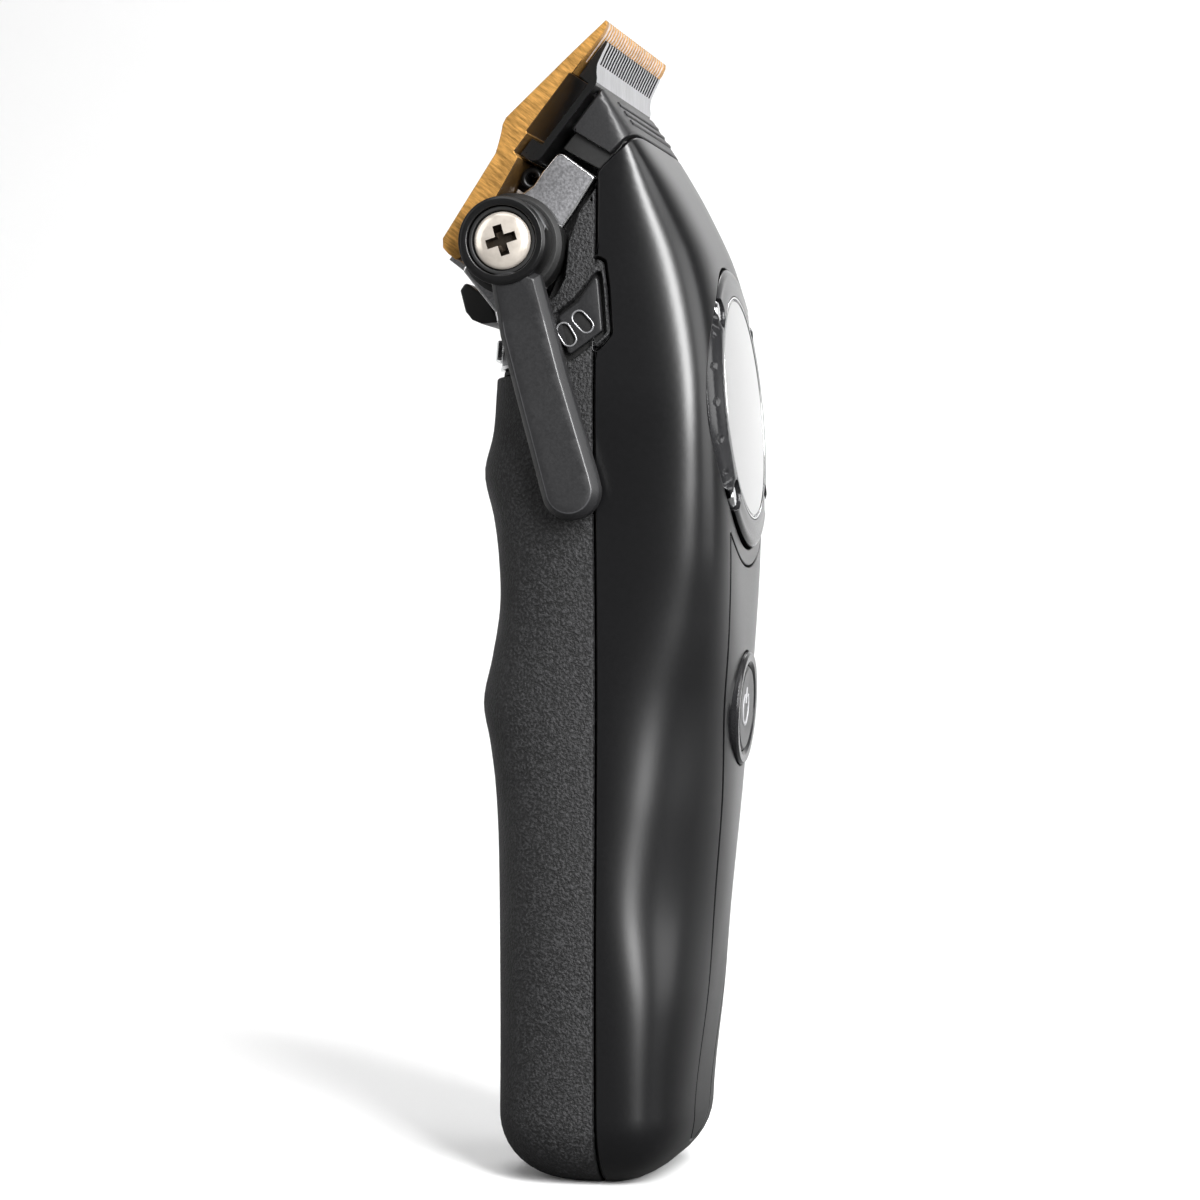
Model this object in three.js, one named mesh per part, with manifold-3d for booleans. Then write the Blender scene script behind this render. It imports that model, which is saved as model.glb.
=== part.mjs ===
// Cordless hair clipper, standing upright with its blades at the top.
// Millimetres, +Z up. The origin is the middle of the flat on the bottom of the body,
// +X is the front (display and power button), -Y is the side that carries the taper lever.

import * as THREE from 'three';
import { mergeVertices } from 'three/addons/utils/BufferGeometryUtils.js';
import Module from 'manifold-3d';

const wasm = await Module();
wasm.setup();

// ---------------------------------------------------------------- driving dimensions

const GAP = 0.3;                 // clearance between pieces that touch
const FAR = 60;                  // reach of a cut that goes right through

// Overall widths
const BODY_WIDTH = 44;           // widest, at the display
const BLADE_WIDTH = 45;
const BODY_HALF = BODY_WIDTH / 2;
const BLADE_HALF = BLADE_WIDTH / 2;

// Body shells
const SPLIT = 3.4;               // X of the seam between the two shells
const WALL = 2.4;                // shell wall
const END_ROUND = 9;             // rounding of the closed lower end
const LOFT_TOP = 150;            // height to which the body's surface is worked out
const BACK_SQUARE = 2.8;         // squareness of the palm side (2 = ellipse)
const AROUND = 32;               // facets round the body
const ROW_STEP = 8;              // spacing of the body's rows

// Each profile is a list of [height, value]; WIDTH_SHARE is a share of the half width.
const FRONT = [
  [0, 14.3], [12, 14.9], [27, 17], [45, 19], [60, 20.3], [73, 20.95], [90, 21.15], [104, 20.9],
  [112, 20.5], [119, 19.7], [124, 18.6], [129, 16.9], [136, 13.4], [140, 10.9], [144, 8.2], [150, 3.9],
];
const BACK = [
  [0, 13], [20, 12.85], [45, 13.1], [54, 13.6], [60, 14.4], [65.8, 15.4], [72, 14.1], [79, 12.95],
  [86, 13.1], [91.5, 13.8], [97.5, 15.1], [103, 13.8], [109, 13.3], [120, 12.6], [150, 12],
];
const WIDTH_SHARE = [
  [0, 0.955], [20, 0.968], [35, 0.964], [50, 0.945], [65, 0.932], [80, 0.945], [95, 0.982], [107, 1],
  [118, 0.964], [128, 0.918], [136, 0.9], [150, 0.891],
];
const FRONT_SQUARE = [
  [0, 3.8], [12, 3.4], [23, 2.9], [37, 2.2], [51, 2.3], [66, 2.7], [77, 3.8], [87, 5],
  [107, 5.8], [122, 4.7], [136, 4.4], [143, 6], [150, 7],
];

// Upper edges of the shells
const SHELL_TOP = [[5.3, 139.9], [9.5, 143.9]];  // slanting top edge of the front shell
const COVER_TOP = 110.6;         // top of the rear cover on the palm side
const EAR_BACK = -5.2;           // back edge of the cover's ears beside the head
const EAR_EDGE = [[-5.2, 119.4], [-2.2, 121.2], [-0.9, 123.6], [-0.5, 128.6], [0.9, 132.4], [3.75, 136.5]];

// Blades. u runs along the blade towards the tips, n runs from the blade into the head.
const BLADE_TIP = [5.2, 158.2];  // X, Z of the fixed blade's tips
const BLADE_TILT = 37.9;         // from vertical
const CUT_FACE = 0.82;           // n of the face that the cutter slides on
const BLADE_HEEL = 38;           // length of the fixed blade along u
const GUARD_TOOTH = 1.8;         // least width of the plain tooth at each end
const SLOT_PITCH = 1.65;
const SLOT_WIDTH = 0.75;
const SLOT_DEPTH = 6.2;
const CUTTER_HALF = BLADE_HALF - 2.6;
const CUTTER_SETBACK = 2.2;      // cutter tips behind the fixed tips, lever open
const CUTTER_PITCH = 1.62;
const CUTTER_TOOTH = 3.1;
const BRIDGE_TOP = 3.7;          // n of the cutter's outer face
const BRIDGE_PLATE = 0.95;
const BRIDGE_END = 21.4;
const STROKE = 1;                // cutter travel each way along Y

// Cheeks of the head frame, and the slider between them
const CHEEK_OUT = BODY_HALF - 2.4;
const CHEEK_IN = CHEEK_OUT - 2.2;
const SLIDER_HALF = CHEEK_IN - 2.4;

// Slider under the fixed blade, and its screws
const SLIDER_BOTTOM = 5.6;       // n of the slider's flat face
const SLIDER_TOP_U = -25.6;
const LIP = 0.8;
const LIP_INNER = 10.6;
const BLADE_SCREW_U = -31.5;
const BLADE_SCREW_Y = 9;
const BLADE_SCREW_R = 1.4;
const BLADE_SCREW_HEAD = 2.8;

// Head frame
const SEAT = 5.9;                // n of the frame's face under the slider
const SEAT_PLATE = 1.7;
const DECK_LOW = 117.4;
const DECK_HIGH = 119;
const COLLAR_LOW = 111.7;
const COLLAR_INSET = 0.5;
const CHIN_HALF = 10;

// Taper lever
const PIVOT = [-8, 128.2];
const LEVER_SWING = 33;          // degrees, open to closed
const HUB_R = 6;
const HUB_BACK = -Math.max(BLADE_HALF, BODY_HALF) - 0.4;  // Y, clear of the blade and the body
const HUB_FACE = HUB_BACK - 4.9;
const HUB_RECESS_R = 4.7;
const HUB_RECESS = 2;
const JOURNAL_R = 3;
const JOURNAL_END = HUB_BACK - 1.5;
const WASHER_R = 4.5;
const BOSS_R = 7;
const BOSS_FACE = HUB_BACK + 1;
const ARM_INNER = HUB_BACK;
const ARM_OUTER = ARM_INNER - 3.5;
const ARM_TIP_R = 3.4;
const ARM_BEVEL = 0.7;
const LEVER_SCREW_HEAD = 3.9;
const LEVER_SCREW_R = 1.3;
const CRANK_R = 4.5;
const CRANK_OUTER = 0.5 - CHEEK_IN;
const CRANK_INNER = CRANK_OUTER + 1.3;
const PIN_R = 0.8;
const PIN_THROW = 3.4;           // pin centre from the pivot
const PIN_END = CRANK_INNER + 2;
const SCREW_END = CRANK_OUTER - 1.3;

// Detent plate in the rear cover
const DETENT_FACE = 0.7 - BODY_HALF;
const DETENT_THICK = 1;
const DETENT_OUTLINE = [[4, 124.5], [4.8, 116.1], [-0.1, 112.6], [-1.7, 118.4], [1.2, 120.6]];
const TONGUE_OUTLINE = [[2.4, 127], [4.8, 126], [5.4, 122.1], [5.9, 115.9], [3.4, 113.2], [2.4, 112.8]];
const MARK_R = 14.5;             // lever marks, from the pivot
const MARK_ANGLES = [31.7, 42.8];
const MARK_LENGTH = 3.2;
const MARK_WIDTH = 1.7;
const MARK_DEPTH = 0.4;

// Display on the front
const DISPLAY = [20.4, 106.7];
const DISPLAY_TILT = 5;          // degrees, facing up
const BEZEL_R = 19.5;
const BEZEL_BORE = BEZEL_R - 3.9;
const BEZEL_THICK = 2;
const LENS_R = BEZEL_BORE - GAP;
const LENS_BACK = 1.4;
const LENS_DOME = 0.5;
const MODULE_R = BEZEL_BORE - 1;
const MODULE_FRONT = 1.8;
const MODULE_BACK = 5.8;
const STUD_COUNT = 4;
const STUD_R = 1.7;
const STUD_CIRCLE = BEZEL_R - 1.8;
const STUD_RISE = 0.3;

// Front panel and power button
const PANEL_THICK = 1.1;
const PANEL_RING = BEZEL_R + 2.7;  // radius of the panel's top edge, round the display
const PANEL_SIDE = [[6.2, 11], [6.5, 23], [8, 51], [10.4, 66], [13.2, 88.8]];
const PANEL_TOE = 4.2;
const BUTTON = [20.75, 64.8];
const BUTTON_TILT = -4;
const BUTTON_RING_R = 7.9;
const BUTTON_R = 5.9;
const BUTTON_DEPTH = 3;
const BUTTON_PROUD = 0.35;
const BUTTON_PRESS = 0.6;        // travel of the cap

// Drive
const MOTOR_X = 1.5;
const MOTOR_R = 11.2;
const MOTOR_LOW = 84;
const MOTOR_HIGH = 114.8;
const MOTOR_CAP = 2.7;
const SHAFT_R = 1;
const SHAFT_LOW = 90;
const SHAFT_HIGH = 123;
const BEARING_R = 4;
const CAM_R = 4.4;
const CAM_LOW = 120.6;
const CAM_HIGH = 124.4;
const CAM_PIN_R = 1.6;
const CAM_PIN_HIGH = 130.4;
const YOKE_SIDE = 1.7;
const YOKE_LOW = 125.4;
const YOKE_SLOT_HIGH = 131.5;
const MOTOR_SCREW_Y = 7.6;

// Power
const CELL_R = 9.1;
const CELL_LOW = 12;
const CELL_LENGTH = 65;
const CRADLE_WALL = 0.9;
const CELL_X = CELL_R + CRADLE_WALL + 2 * GAP + WALL - along(BACK, 20);  // cradle against the cover
const BOARD = { x: CELL_X + CELL_R + 1.3, thick: 1.6, half: 9, low: 34, high: 80 };
const SWITCH_HALF = 3;
const CONTACT_Z = 9;
const CONTACT_Y = 4;
const CONTACT_R = 1.5;
const CONTACT_RECESS = { half: 7.2, low: 6.6, high: 11.4, depth: 0.9 };

// ---------------------------------------------------------------- finishes

const FINISH = {
  gloss: { color: 0x0d0d0e, roughness: 0.3, metalness: 0 },
  matte: { color: 0x242425, roughness: 0.65, metalness: 0 },
  satin: { color: 0x2b2b2d, roughness: 0.45, metalness: 0 },
  gold: { color: 0xb8792c, roughness: 0.35, metalness: 1 },
  coated: { color: 0x141414, roughness: 0.35, metalness: 0.6 },
  cast: { color: 0x8c8d90, roughness: 0.55, metalness: 0.9 },
  steel: { color: 0xc4c4c6, roughness: 0.25, metalness: 1 },
  nickel: { color: 0xe2d6c6, roughness: 0.18, metalness: 1 },
  glass: { color: 0x08090a, roughness: 0.05, metalness: 0 },
  rubber: { color: 0x161616, roughness: 0.8, metalness: 0 },
  board: { color: 0x1f5a35, roughness: 0.5, metalness: 0 },
  brass: { color: 0xb9964a, roughness: 0.3, metalness: 1 },
  wrap: { color: 0x2c5f8a, roughness: 0.4, metalness: 0 },
};

// ---------------------------------------------------------------- small tools

const radians = THREE.MathUtils.degToRad;

// Smooth value of a profile at a height (cubic through its points).
function along(profile, height) {
  const last = profile.length - 1;
  if (height <= profile[0][0]) return profile[0][1];
  if (height >= profile[last][0]) return profile[last][1];
  const at = profile.findIndex((point) => point[0] > height) - 1;
  const slope = (i) => {
    const a = profile[Math.max(i - 1, 0)];
    const b = profile[Math.min(i + 1, last)];
    return (b[1] - a[1]) / (b[0] - a[0]);
  };
  const [z0, v0] = profile[at];
  const [z1, v1] = profile[at + 1];
  const step = z1 - z0;
  const t = (height - z0) / step;
  const rise = t * t * (3 - 2 * t);
  const lead = t * (1 - t) * (1 - t) * step * slope(at);
  const trail = t * t * (t - 1) * step * slope(at + 1);
  return v0 + (v1 - v0) * rise + lead + trail;
}

// A closed geometry as a solid that can be joined and cut.
function solid(geometry) {
  const bare = geometry.clone();
  bare.deleteAttribute('normal');
  bare.deleteAttribute('uv');
  const merged = mergeVertices(bare, 1e-4);
  const index = merged.index.array;
  const kept = [];
  for (let i = 0; i < index.length; i += 3) {
    const [a, b, c] = [index[i], index[i + 1], index[i + 2]];
    if (a !== b && b !== c && c !== a) kept.push(a, b, c);
  }
  return new wasm.Manifold(new wasm.Mesh({
    numProp: 3,
    vertProperties: new Float32Array(merged.attributes.position.array),
    triVerts: new Uint32Array(kept),
  }));
}

function toGeometry(shape) {
  const mesh = shape.getMesh();
  const geometry = new THREE.BufferGeometry();
  geometry.setAttribute('position', new THREE.BufferAttribute(new Float32Array(mesh.vertProperties), 3));
  geometry.setIndex(new THREE.BufferAttribute(new Uint32Array(mesh.triVerts), 1));
  geometry.computeVertexNormals();
  return geometry;
}

const join = (first, ...rest) => rest.reduce((whole, piece) => whole.add(piece), first);
const cut = (first, ...rest) => rest.reduce((whole, piece) => whole.subtract(piece), first);
const common = (first, ...rest) => rest.reduce((whole, piece) => whole.intersect(piece), first);

// An outline in the XZ plane, made thick along Y.
function slab(outline, yLow, yHigh) {
  const shape = outline instanceof THREE.Shape
    ? outline
    : new THREE.Shape(outline.map(([x, z]) => new THREE.Vector2(x, z)));
  const geometry = new THREE.ExtrudeGeometry(shape, {
    depth: yHigh - yLow,
    bevelEnabled: false,
    curveSegments: 8,
  });
  geometry.rotateX(Math.PI / 2);
  geometry.translate(0, yHigh, 0);
  return solid(geometry);
}

// The same outline on both sides of the middle plane.
const bothSides = (outline, yIn, yOut) => join(slab(outline, -yOut, -yIn), slab(outline, yIn, yOut));

function box(xLow, xHigh, yLow, yHigh, zLow, zHigh) {
  const geometry = new THREE.BoxGeometry(xHigh - xLow, yHigh - yLow, zHigh - zLow);
  geometry.translate((xLow + xHigh) / 2, (yLow + yHigh) / 2, (zLow + zHigh) / 2);
  return solid(geometry);
}

// Cylinder with its axis along Y.
function rodY(radius, yLow, yHigh, [x, z] = [0, 0], sides = 20) {
  const geometry = new THREE.CylinderGeometry(radius, radius, yHigh - yLow, sides);
  geometry.translate(x, (yLow + yHigh) / 2, z);
  return solid(geometry);
}

// Cylinder with its axis along Z.
function rodZ(radius, zLow, zHigh, [x, y] = [0, 0], sides = 20) {
  const geometry = new THREE.CylinderGeometry(radius, radius, zHigh - zLow, sides);
  geometry.rotateX(Math.PI / 2);
  geometry.translate(x, y, (zLow + zHigh) / 2);
  return solid(geometry);
}

// Turned piece: [radius, height] pairs, revolved round Y.
function turned(profile, sides = 20) {
  const points = profile.map(([r, y]) => new THREE.Vector2(r, y));
  if (THREE.ShapeUtils.area(points) < 0) points.reverse();
  return solid(new THREE.LatheGeometry([...points, points[0]], sides));
}

const placed = (shape, group) => {
  const geometry = toGeometry(shape);
  group.updateMatrixWorld(true);
  geometry.applyMatrix4(group.matrixWorld);
  return solid(geometry);
};

const clipper = new THREE.Group();

function add(parent, name, shape, finish) {
  const mesh = new THREE.Mesh(toGeometry(shape), new THREE.MeshStandardMaterial(finish));
  mesh.name = name;
  parent.add(mesh);
}

// A group whose +Y axis points out of the front face, tilted up by an angle.
function frontGroup([x, z], tilt) {
  const group = new THREE.Group();
  group.position.set(x, 0, z);
  group.rotation.set(0, -radians(tilt), -Math.PI / 2);
  clipper.add(group);
  return group;
}

// ---------------------------------------------------------------- body surface

// How far the closed lower end pulls in at a height, for a surface inset from the outside.
function endInset(z, inset) {
  const radius = END_ROUND - inset;
  const rise = z - inset;
  if (rise >= radius) return 0;
  return radius - Math.sqrt(Math.max(radius * radius - (radius - rise) ** 2, 0));
}

function bodyPoint(angle, z, inset) {
  const c = Math.cos(angle);
  const s = Math.sin(angle);
  const pull = inset + endInset(z, inset);
  const front = c > 0;
  const power = 2 / (front ? along(FRONT_SQUARE, z) : BACK_SQUARE);
  const reach = (front ? along(FRONT, z) - SPLIT : along(BACK, z) + SPLIT) - pull;
  const half = along(WIDTH_SHARE, z) * BODY_HALF - pull;
  const x = SPLIT + Math.sign(c) * Math.abs(c) ** power * reach;
  return [x, Math.sign(s) * Math.abs(s) ** power * half, z];
}

function bodyRows(inset) {
  const radius = END_ROUND - inset;
  const rows = [];
  for (let i = 0; i < 6; i += 1) rows.push(inset + radius * (1 - Math.cos((i * Math.PI) / 12)));
  const start = inset + radius;
  const count = Math.ceil((LOFT_TOP - start) / ROW_STEP);
  for (let i = 0; i <= count; i += 1) rows.push(start + ((LOFT_TOP - start) * i) / count);
  return rows;
}

// The whole body as one convex-sectioned solid, inset from the outside.
function bodySolid(inset) {
  const rows = bodyRows(inset);
  const positions = [];
  for (const z of rows) {
    for (let i = 0; i < AROUND; i += 1) positions.push(...bodyPoint((i * 2 * Math.PI) / AROUND, z, inset));
  }
  const index = [];
  for (let r = 0; r + 1 < rows.length; r += 1) {
    for (let i = 0; i < AROUND; i += 1) {
      const a = r * AROUND + i;
      const b = r * AROUND + ((i + 1) % AROUND);
      index.push(a, b, b + AROUND, a, b + AROUND, a + AROUND);
    }
  }
  const caps = [[0, rows[0], false], [(rows.length - 1) * AROUND, LOFT_TOP, true]];
  for (const [first, z, up] of caps) {
    const middle = positions.length / 3;
    positions.push(SPLIT, 0, z);
    for (let i = 0; i < AROUND; i += 1) {
      const a = first + i;
      const b = first + ((i + 1) % AROUND);
      index.push(middle, ...(up ? [a, b] : [b, a]));
    }
  }
  const geometry = new THREE.BufferGeometry();
  geometry.setAttribute('position', new THREE.BufferAttribute(new Float32Array(positions), 3));
  geometry.setIndex(index);
  return solid(geometry);
}

const bodyLayer = (outer, inner) => cut(bodySolid(outer), bodySolid(inner));

// ---------------------------------------------------------------- blade coordinates

const TILT = radians(BLADE_TILT);

const onBlade = ([u, n]) => [
  BLADE_TIP[0] + u * Math.sin(TILT) + n * Math.cos(TILT),
  BLADE_TIP[1] + u * Math.cos(TILT) - n * Math.sin(TILT),
];

const bladeSlab = (outline, yLow, yHigh) => slab(outline.map(onBlade), yLow, yHigh);

// A group at a point of the blade whose +Y axis points out of the blade, away from the head.
function bladeGroup([u, n], y) {
  const group = new THREE.Group();
  const [x, z] = onBlade([u, n]);
  group.position.set(x, y, z);
  group.rotation.set(0, TILT, Math.PI / 2);
  clipper.add(group);
  return group;
}

// Inner face of the fixed blade's lower plate.
const heelFace = (u) => 2.5 + (-26.8 - u) * 0.115;

// ---------------------------------------------------------------- outlines shared by pieces

const displayGroup = frontGroup(DISPLAY, DISPLAY_TILT);
const buttonGroup = frontGroup(BUTTON, BUTTON_TILT);
const displayDisc = (radius, low, high) => placed(rodY(radius, low, high, [0, 0], 32), displayGroup);
const buttonDisc = (radius, low, high) => placed(rodY(radius, low, high, [0, 0], 32), buttonGroup);

// Prism along X with the front panel's outline, grown by a margin.
function panelPrism(margin) {
  const shape = new THREE.Shape();
  const toeR = PANEL_SIDE[0][0] + margin;
  const toeZ = PANEL_TOE - margin + toeR;
  shape.absarc(0, toeZ, toeR, Math.PI, 2 * Math.PI, false);
  for (const [y, z] of PANEL_SIDE.slice(1, -1)) shape.lineTo(y + margin, z);
  const [topY] = PANEL_SIDE[PANEL_SIDE.length - 1];
  const reach = PANEL_RING - margin;
  const spread = Math.asin((topY + margin) / reach);
  shape.absarc(0, DISPLAY[1], reach, -Math.PI / 2 + spread, -Math.PI / 2 - spread, true);
  for (const [y, z] of PANEL_SIDE.slice(1, -1).reverse()) shape.lineTo(-y - margin, z);
  const geometry = new THREE.ExtrudeGeometry(shape, { depth: FAR, bevelEnabled: false, curveSegments: 10 });
  const turn = new THREE.Matrix4().makeBasis(
    new THREE.Vector3(0, 1, 0), new THREE.Vector3(0, 0, 1), new THREE.Vector3(1, 0, 0));
  geometry.applyMatrix4(turn.setPosition(SPLIT + 2, 0, 0));
  return solid(geometry);
}

// Outline moved out from its middle by a margin on every side.
function grown(outline, margin) {
  const count = outline.length;
  const area = outline.reduce((sum, [x, z], i) => {
    const [nx, nz] = outline[(i + 1) % count];
    return sum + x * nz - nx * z;
  }, 0);
  const side = Math.sign(area) * margin;
  return outline.map(([x, z], i) => {
    const before = new THREE.Vector2(...outline[(i + count - 1) % count]);
    const here = new THREE.Vector2(x, z);
    const after = new THREE.Vector2(...outline[(i + 1) % count]);
    const come = here.clone().sub(before).normalize();
    const go = after.sub(here).normalize();
    const out = new THREE.Vector2(come.y + go.y, -come.x - go.x).normalize();
    const stretch = side / Math.max(out.dot(new THREE.Vector2(come.y, -come.x)), 0.5);
    return [x + out.x * stretch, z + out.y * stretch];
  });
}

// Space above the rear cover, where the head frame stands.
const headSpace = [
  [-FAR, COVER_TOP], [EAR_BACK, COVER_TOP], ...EAR_EDGE,
  [SPLIT + 0.6, 138], [SPLIT + 0.6, 170], [-FAR, 170],
];

// Everything above the slanting top edge of the front shell, moved up by a margin.
function aboveShellTop(margin) {
  const [[xa, za], [xb, zb]] = SHELL_TOP;
  const slope = (zb - za) / (xb - xa);
  const edge = (x) => za + margin * Math.hypot(1, slope) + slope * (x - xa);
  return [[-FAR, edge(-FAR)], [FAR, edge(FAR)], [FAR, 260], [-FAR, 260]];
}

// ---------------------------------------------------------------- shells

function frontShell() {
  const half = box(SPLIT + GAP / 2, FAR, -FAR, FAR, -1, LOFT_TOP);
  const pocket = common(cut(bodySolid(-1), bodySolid(PANEL_THICK + GAP)), panelPrism(GAP));
  return cut(
    common(bodyLayer(0, WALL), half),
    slab(aboveShellTop(0), -FAR, FAR),
    slab(TONGUE_OUTLINE, -FAR, 0),
    displayDisc(BEZEL_BORE + 0.6, -12, 12),
    displayDisc(BEZEL_R + GAP, -BEZEL_THICK - GAP, 8),
    pocket,
    buttonDisc(BUTTON_R + GAP, -8, 8),
  );
}

function rearCover() {
  const half = box(-FAR, SPLIT - GAP / 2, -FAR, FAR, -1, LOFT_TOP);
  const tongue = slab(grown(TONGUE_OUTLINE, -GAP), -FAR, 0);
  const recess = CONTACT_RECESS;
  const holes = [-1, 1].map((side) => {
    const hole = new THREE.CylinderGeometry(CONTACT_R + GAP, CONTACT_R + GAP, 8, 20);
    hole.rotateZ(Math.PI / 2);
    hole.translate(-along(BACK, CONTACT_Z), side * CONTACT_Y, CONTACT_Z);
    return solid(hole);
  });
  const floor = -along(BACK, CONTACT_Z) + recess.depth;
  return cut(
    common(bodyLayer(0, WALL), join(half, tongue)),
    slab(headSpace, -FAR, FAR),
    slab(grown(DETENT_OUTLINE, GAP), -FAR, DETENT_FACE + DETENT_THICK + GAP),
    box(-FAR, floor, -recess.half, recess.half, recess.low, recess.high),
    ...holes,
  );
}

function detentPlate() {
  const marks = MARK_ANGLES.map((angle) => {
    const half = MARK_LENGTH / 2 - MARK_WIDTH / 2;
    const shape = new THREE.Shape();
    shape.absarc(0, -half, MARK_WIDTH / 2, Math.PI, 2 * Math.PI, false);
    shape.absarc(0, half, MARK_WIDTH / 2, 0, Math.PI, false);
    const geometry = new THREE.ExtrudeGeometry(shape, { depth: 4, bevelEnabled: false, curveSegments: 6 });
    geometry.rotateX(Math.PI / 2);
    geometry.translate(0, DETENT_FACE + MARK_DEPTH, 0);
    geometry.rotateY(-radians(angle));
    const turn = radians(angle);
    geometry.translate(PIVOT[0] + MARK_R * Math.sin(turn), 0, PIVOT[1] - MARK_R * Math.cos(turn));
    return solid(geometry);
  });
  return cut(slab(DETENT_OUTLINE, DETENT_FACE, DETENT_FACE + DETENT_THICK), ...marks);
}

const frontPanel = () => cut(
  common(bodyLayer(0, PANEL_THICK), panelPrism(0)),
  buttonDisc(BUTTON_RING_R + GAP, -8, 8),
);

// Hood between the cutter and the shells, open towards the head frame.
function noseCover() {
  const lipN = BRIDGE_TOP + 1.15;
  const heel = [0, 143.8];
  const toe = [SHELL_TOP[0][0] - 0.1, SHELL_TOP[0][1] + 0.3];
  const hood = [onBlade([-7.7, lipN]), heel, toe, [14, 149], [9, 154]];
  const hollow = [onBlade([-9.4, lipN + 1.5]), [0.6, 140.6], [6, 137.5], [14, 145], [9, 150]];
  const skirt = [[-1.4, 141.5], [0.3, 144], [5.6, 140.3], [5, 139.2], [3.9, 138]];
  const shell = cut(
    common(slab(hood, -FAR, FAR), bodySolid(0)),
    common(slab(hollow, -CHEEK_IN, CHEEK_IN), bodySolid(1.8)),
    slab([[-6, 141], [0.4, 146.4], [7, 141], [2, 136]], -CHEEK_IN + 0.4, CHEEK_IN - 0.4),
  );
  const front = slab(aboveShellTop(GAP), -FAR, FAR);
  const inside = along(WIDTH_SHARE, LOFT_TOP) * BODY_HALF - WALL - GAP;
  return join(
    common(join(shell, bothSides(skirt, inside - 0.1, CHEEK_OUT - 1.1)), front),
    bothSides(skirt, inside - 1.4, inside),
  );
}

const neckSeal = () => common(
  bodyLayer(0.9, WALL + 0.2),
  box(-FAR, EAR_BACK - 0.4, -FAR, FAR, COVER_TOP + GAP, COLLAR_LOW - GAP),
);

const neckClip = () => common(
  bodyLayer(-0.5, COLLAR_INSET - GAP),
  box(-FAR, -8, -15, 15, COLLAR_LOW + 1.3, COLLAR_LOW + 4.1),
);

// ---------------------------------------------------------------- head

function headFrame() {
  const cheek = [
    [-1.8, 141], [3.4, 137.2], [0.45, 132.8], [-1.6, 130], [-2.2, 125], [-6, 119.4],
    [-6, 117.4], [-10.4, 117.4], [-10.7, 119.2], [-15.3, 125], onBlade([-37.2, heelFace(-37.2) + 0.5]),
    onBlade([-26.4, heelFace(-26.4) + 0.5]), [-7, 135.4], [-5.2, 136.5], [-3.9, 138.3],
  ];
  const seat = [[-38, SEAT], [-25.5, SEAT], [-25.5, SEAT + SEAT_PLATE], [-38, SEAT + SEAT_PLATE]];
  const strut = [[-10.9, 118.2], [-13.7, 124.2], [-11.6, 125.6], [-8.8, 118.2]];
  const wing = [[-38, SEAT], [-37, SEAT], [-37, SEAT + 5], [-38, SEAT + 5]];
  const wings = bladeSlab(wing, -CHEEK_IN - 1, CHEEK_IN + 1);
  const collar = common(
    bodyLayer(COLLAR_INSET, WALL + 0.3),
    box(-FAR, EAR_BACK - 0.4, -FAR, FAR, COLLAR_LOW, DECK_HIGH),
  );
  const deck = common(box(-12, 13, -FAR, FAR, DECK_LOW, DECK_HIGH), bodySolid(WALL + 0.4));
  const deckWing = box(-10.4, -6, -CHEEK_IN - 1, CHEEK_IN + 1, DECK_LOW, DECK_HIGH);
  const body = join(
    bothSides(cheek, CHEEK_IN, CHEEK_OUT),
    bladeSlab(seat, -SLIDER_HALF, SLIDER_HALF),
    slab(strut, -SLIDER_HALF, SLIDER_HALF),
    wings,
    collar,
    deck,
    deckWing,
    rodY(BOSS_R, BOSS_FACE, -CHEEK_IN, PIVOT),
  );
  const screwHoles = [-1, 1].map((side) => (
    rodZ(1.3, DECK_LOW - 1, DECK_HIGH + 1, [MOTOR_X, side * MOTOR_SCREW_Y], 16)
  ));
  return cut(
    body,
    rodY(JOURNAL_R + GAP, BOSS_FACE - 1, CRANK_INNER + GAP, PIVOT),
    rodY(CRANK_R + GAP, -CHEEK_IN, CRANK_INNER + 0.8, PIVOT),
    rodZ(BEARING_R + GAP, DECK_LOW - 1, DECK_HIGH + 1, [MOTOR_X, 0]),
    bladeSlab([[-20, heelFace(-20) + 0.5], [-43, heelFace(-43) + 0.5], [-43, -9], [-20, -9]], -FAR, FAR),
    ...screwHoles,
  );
}

// Lip under the blade's heel, cut back where the slider comes down.
function chinGuard() {
  const lip = [
    [-14.5, 123.4], [-17.2, 124], [-17.9, 123], [-17.1, 120], [-16.2, 118.9], [-14.8, 118.3],
    [-12.4, 118.5],
  ];
  const travel = 2 * PIN_THROW * Math.sin(radians(LEVER_SWING / 2));
  const low = -BLADE_HEEL - travel - 2 * GAP;
  const path = [
    [low, -1], [low, SLIDER_BOTTOM + GAP], [SLIDER_TOP_U, SLIDER_BOTTOM + GAP], [SLIDER_TOP_U, -1],
  ];
  return cut(slab(lip, -CHIN_HALF, CHIN_HALF), bladeSlab(path, -FAR, FAR));
}

function bladeScrewCuts(reach) {
  const radius = BLADE_SCREW_R + GAP;
  const head = BLADE_SCREW_HEAD + GAP;
  const profile = [[0, -reach], [radius, -reach], [radius, -1.2], [head, 0.35], [head, 4], [0, 4]];
  return [-1, 1].map((side) => (
    placed(turned(profile, 20), bladeGroup([BLADE_SCREW_U, 0], side * BLADE_SCREW_Y))
  ));
}

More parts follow.
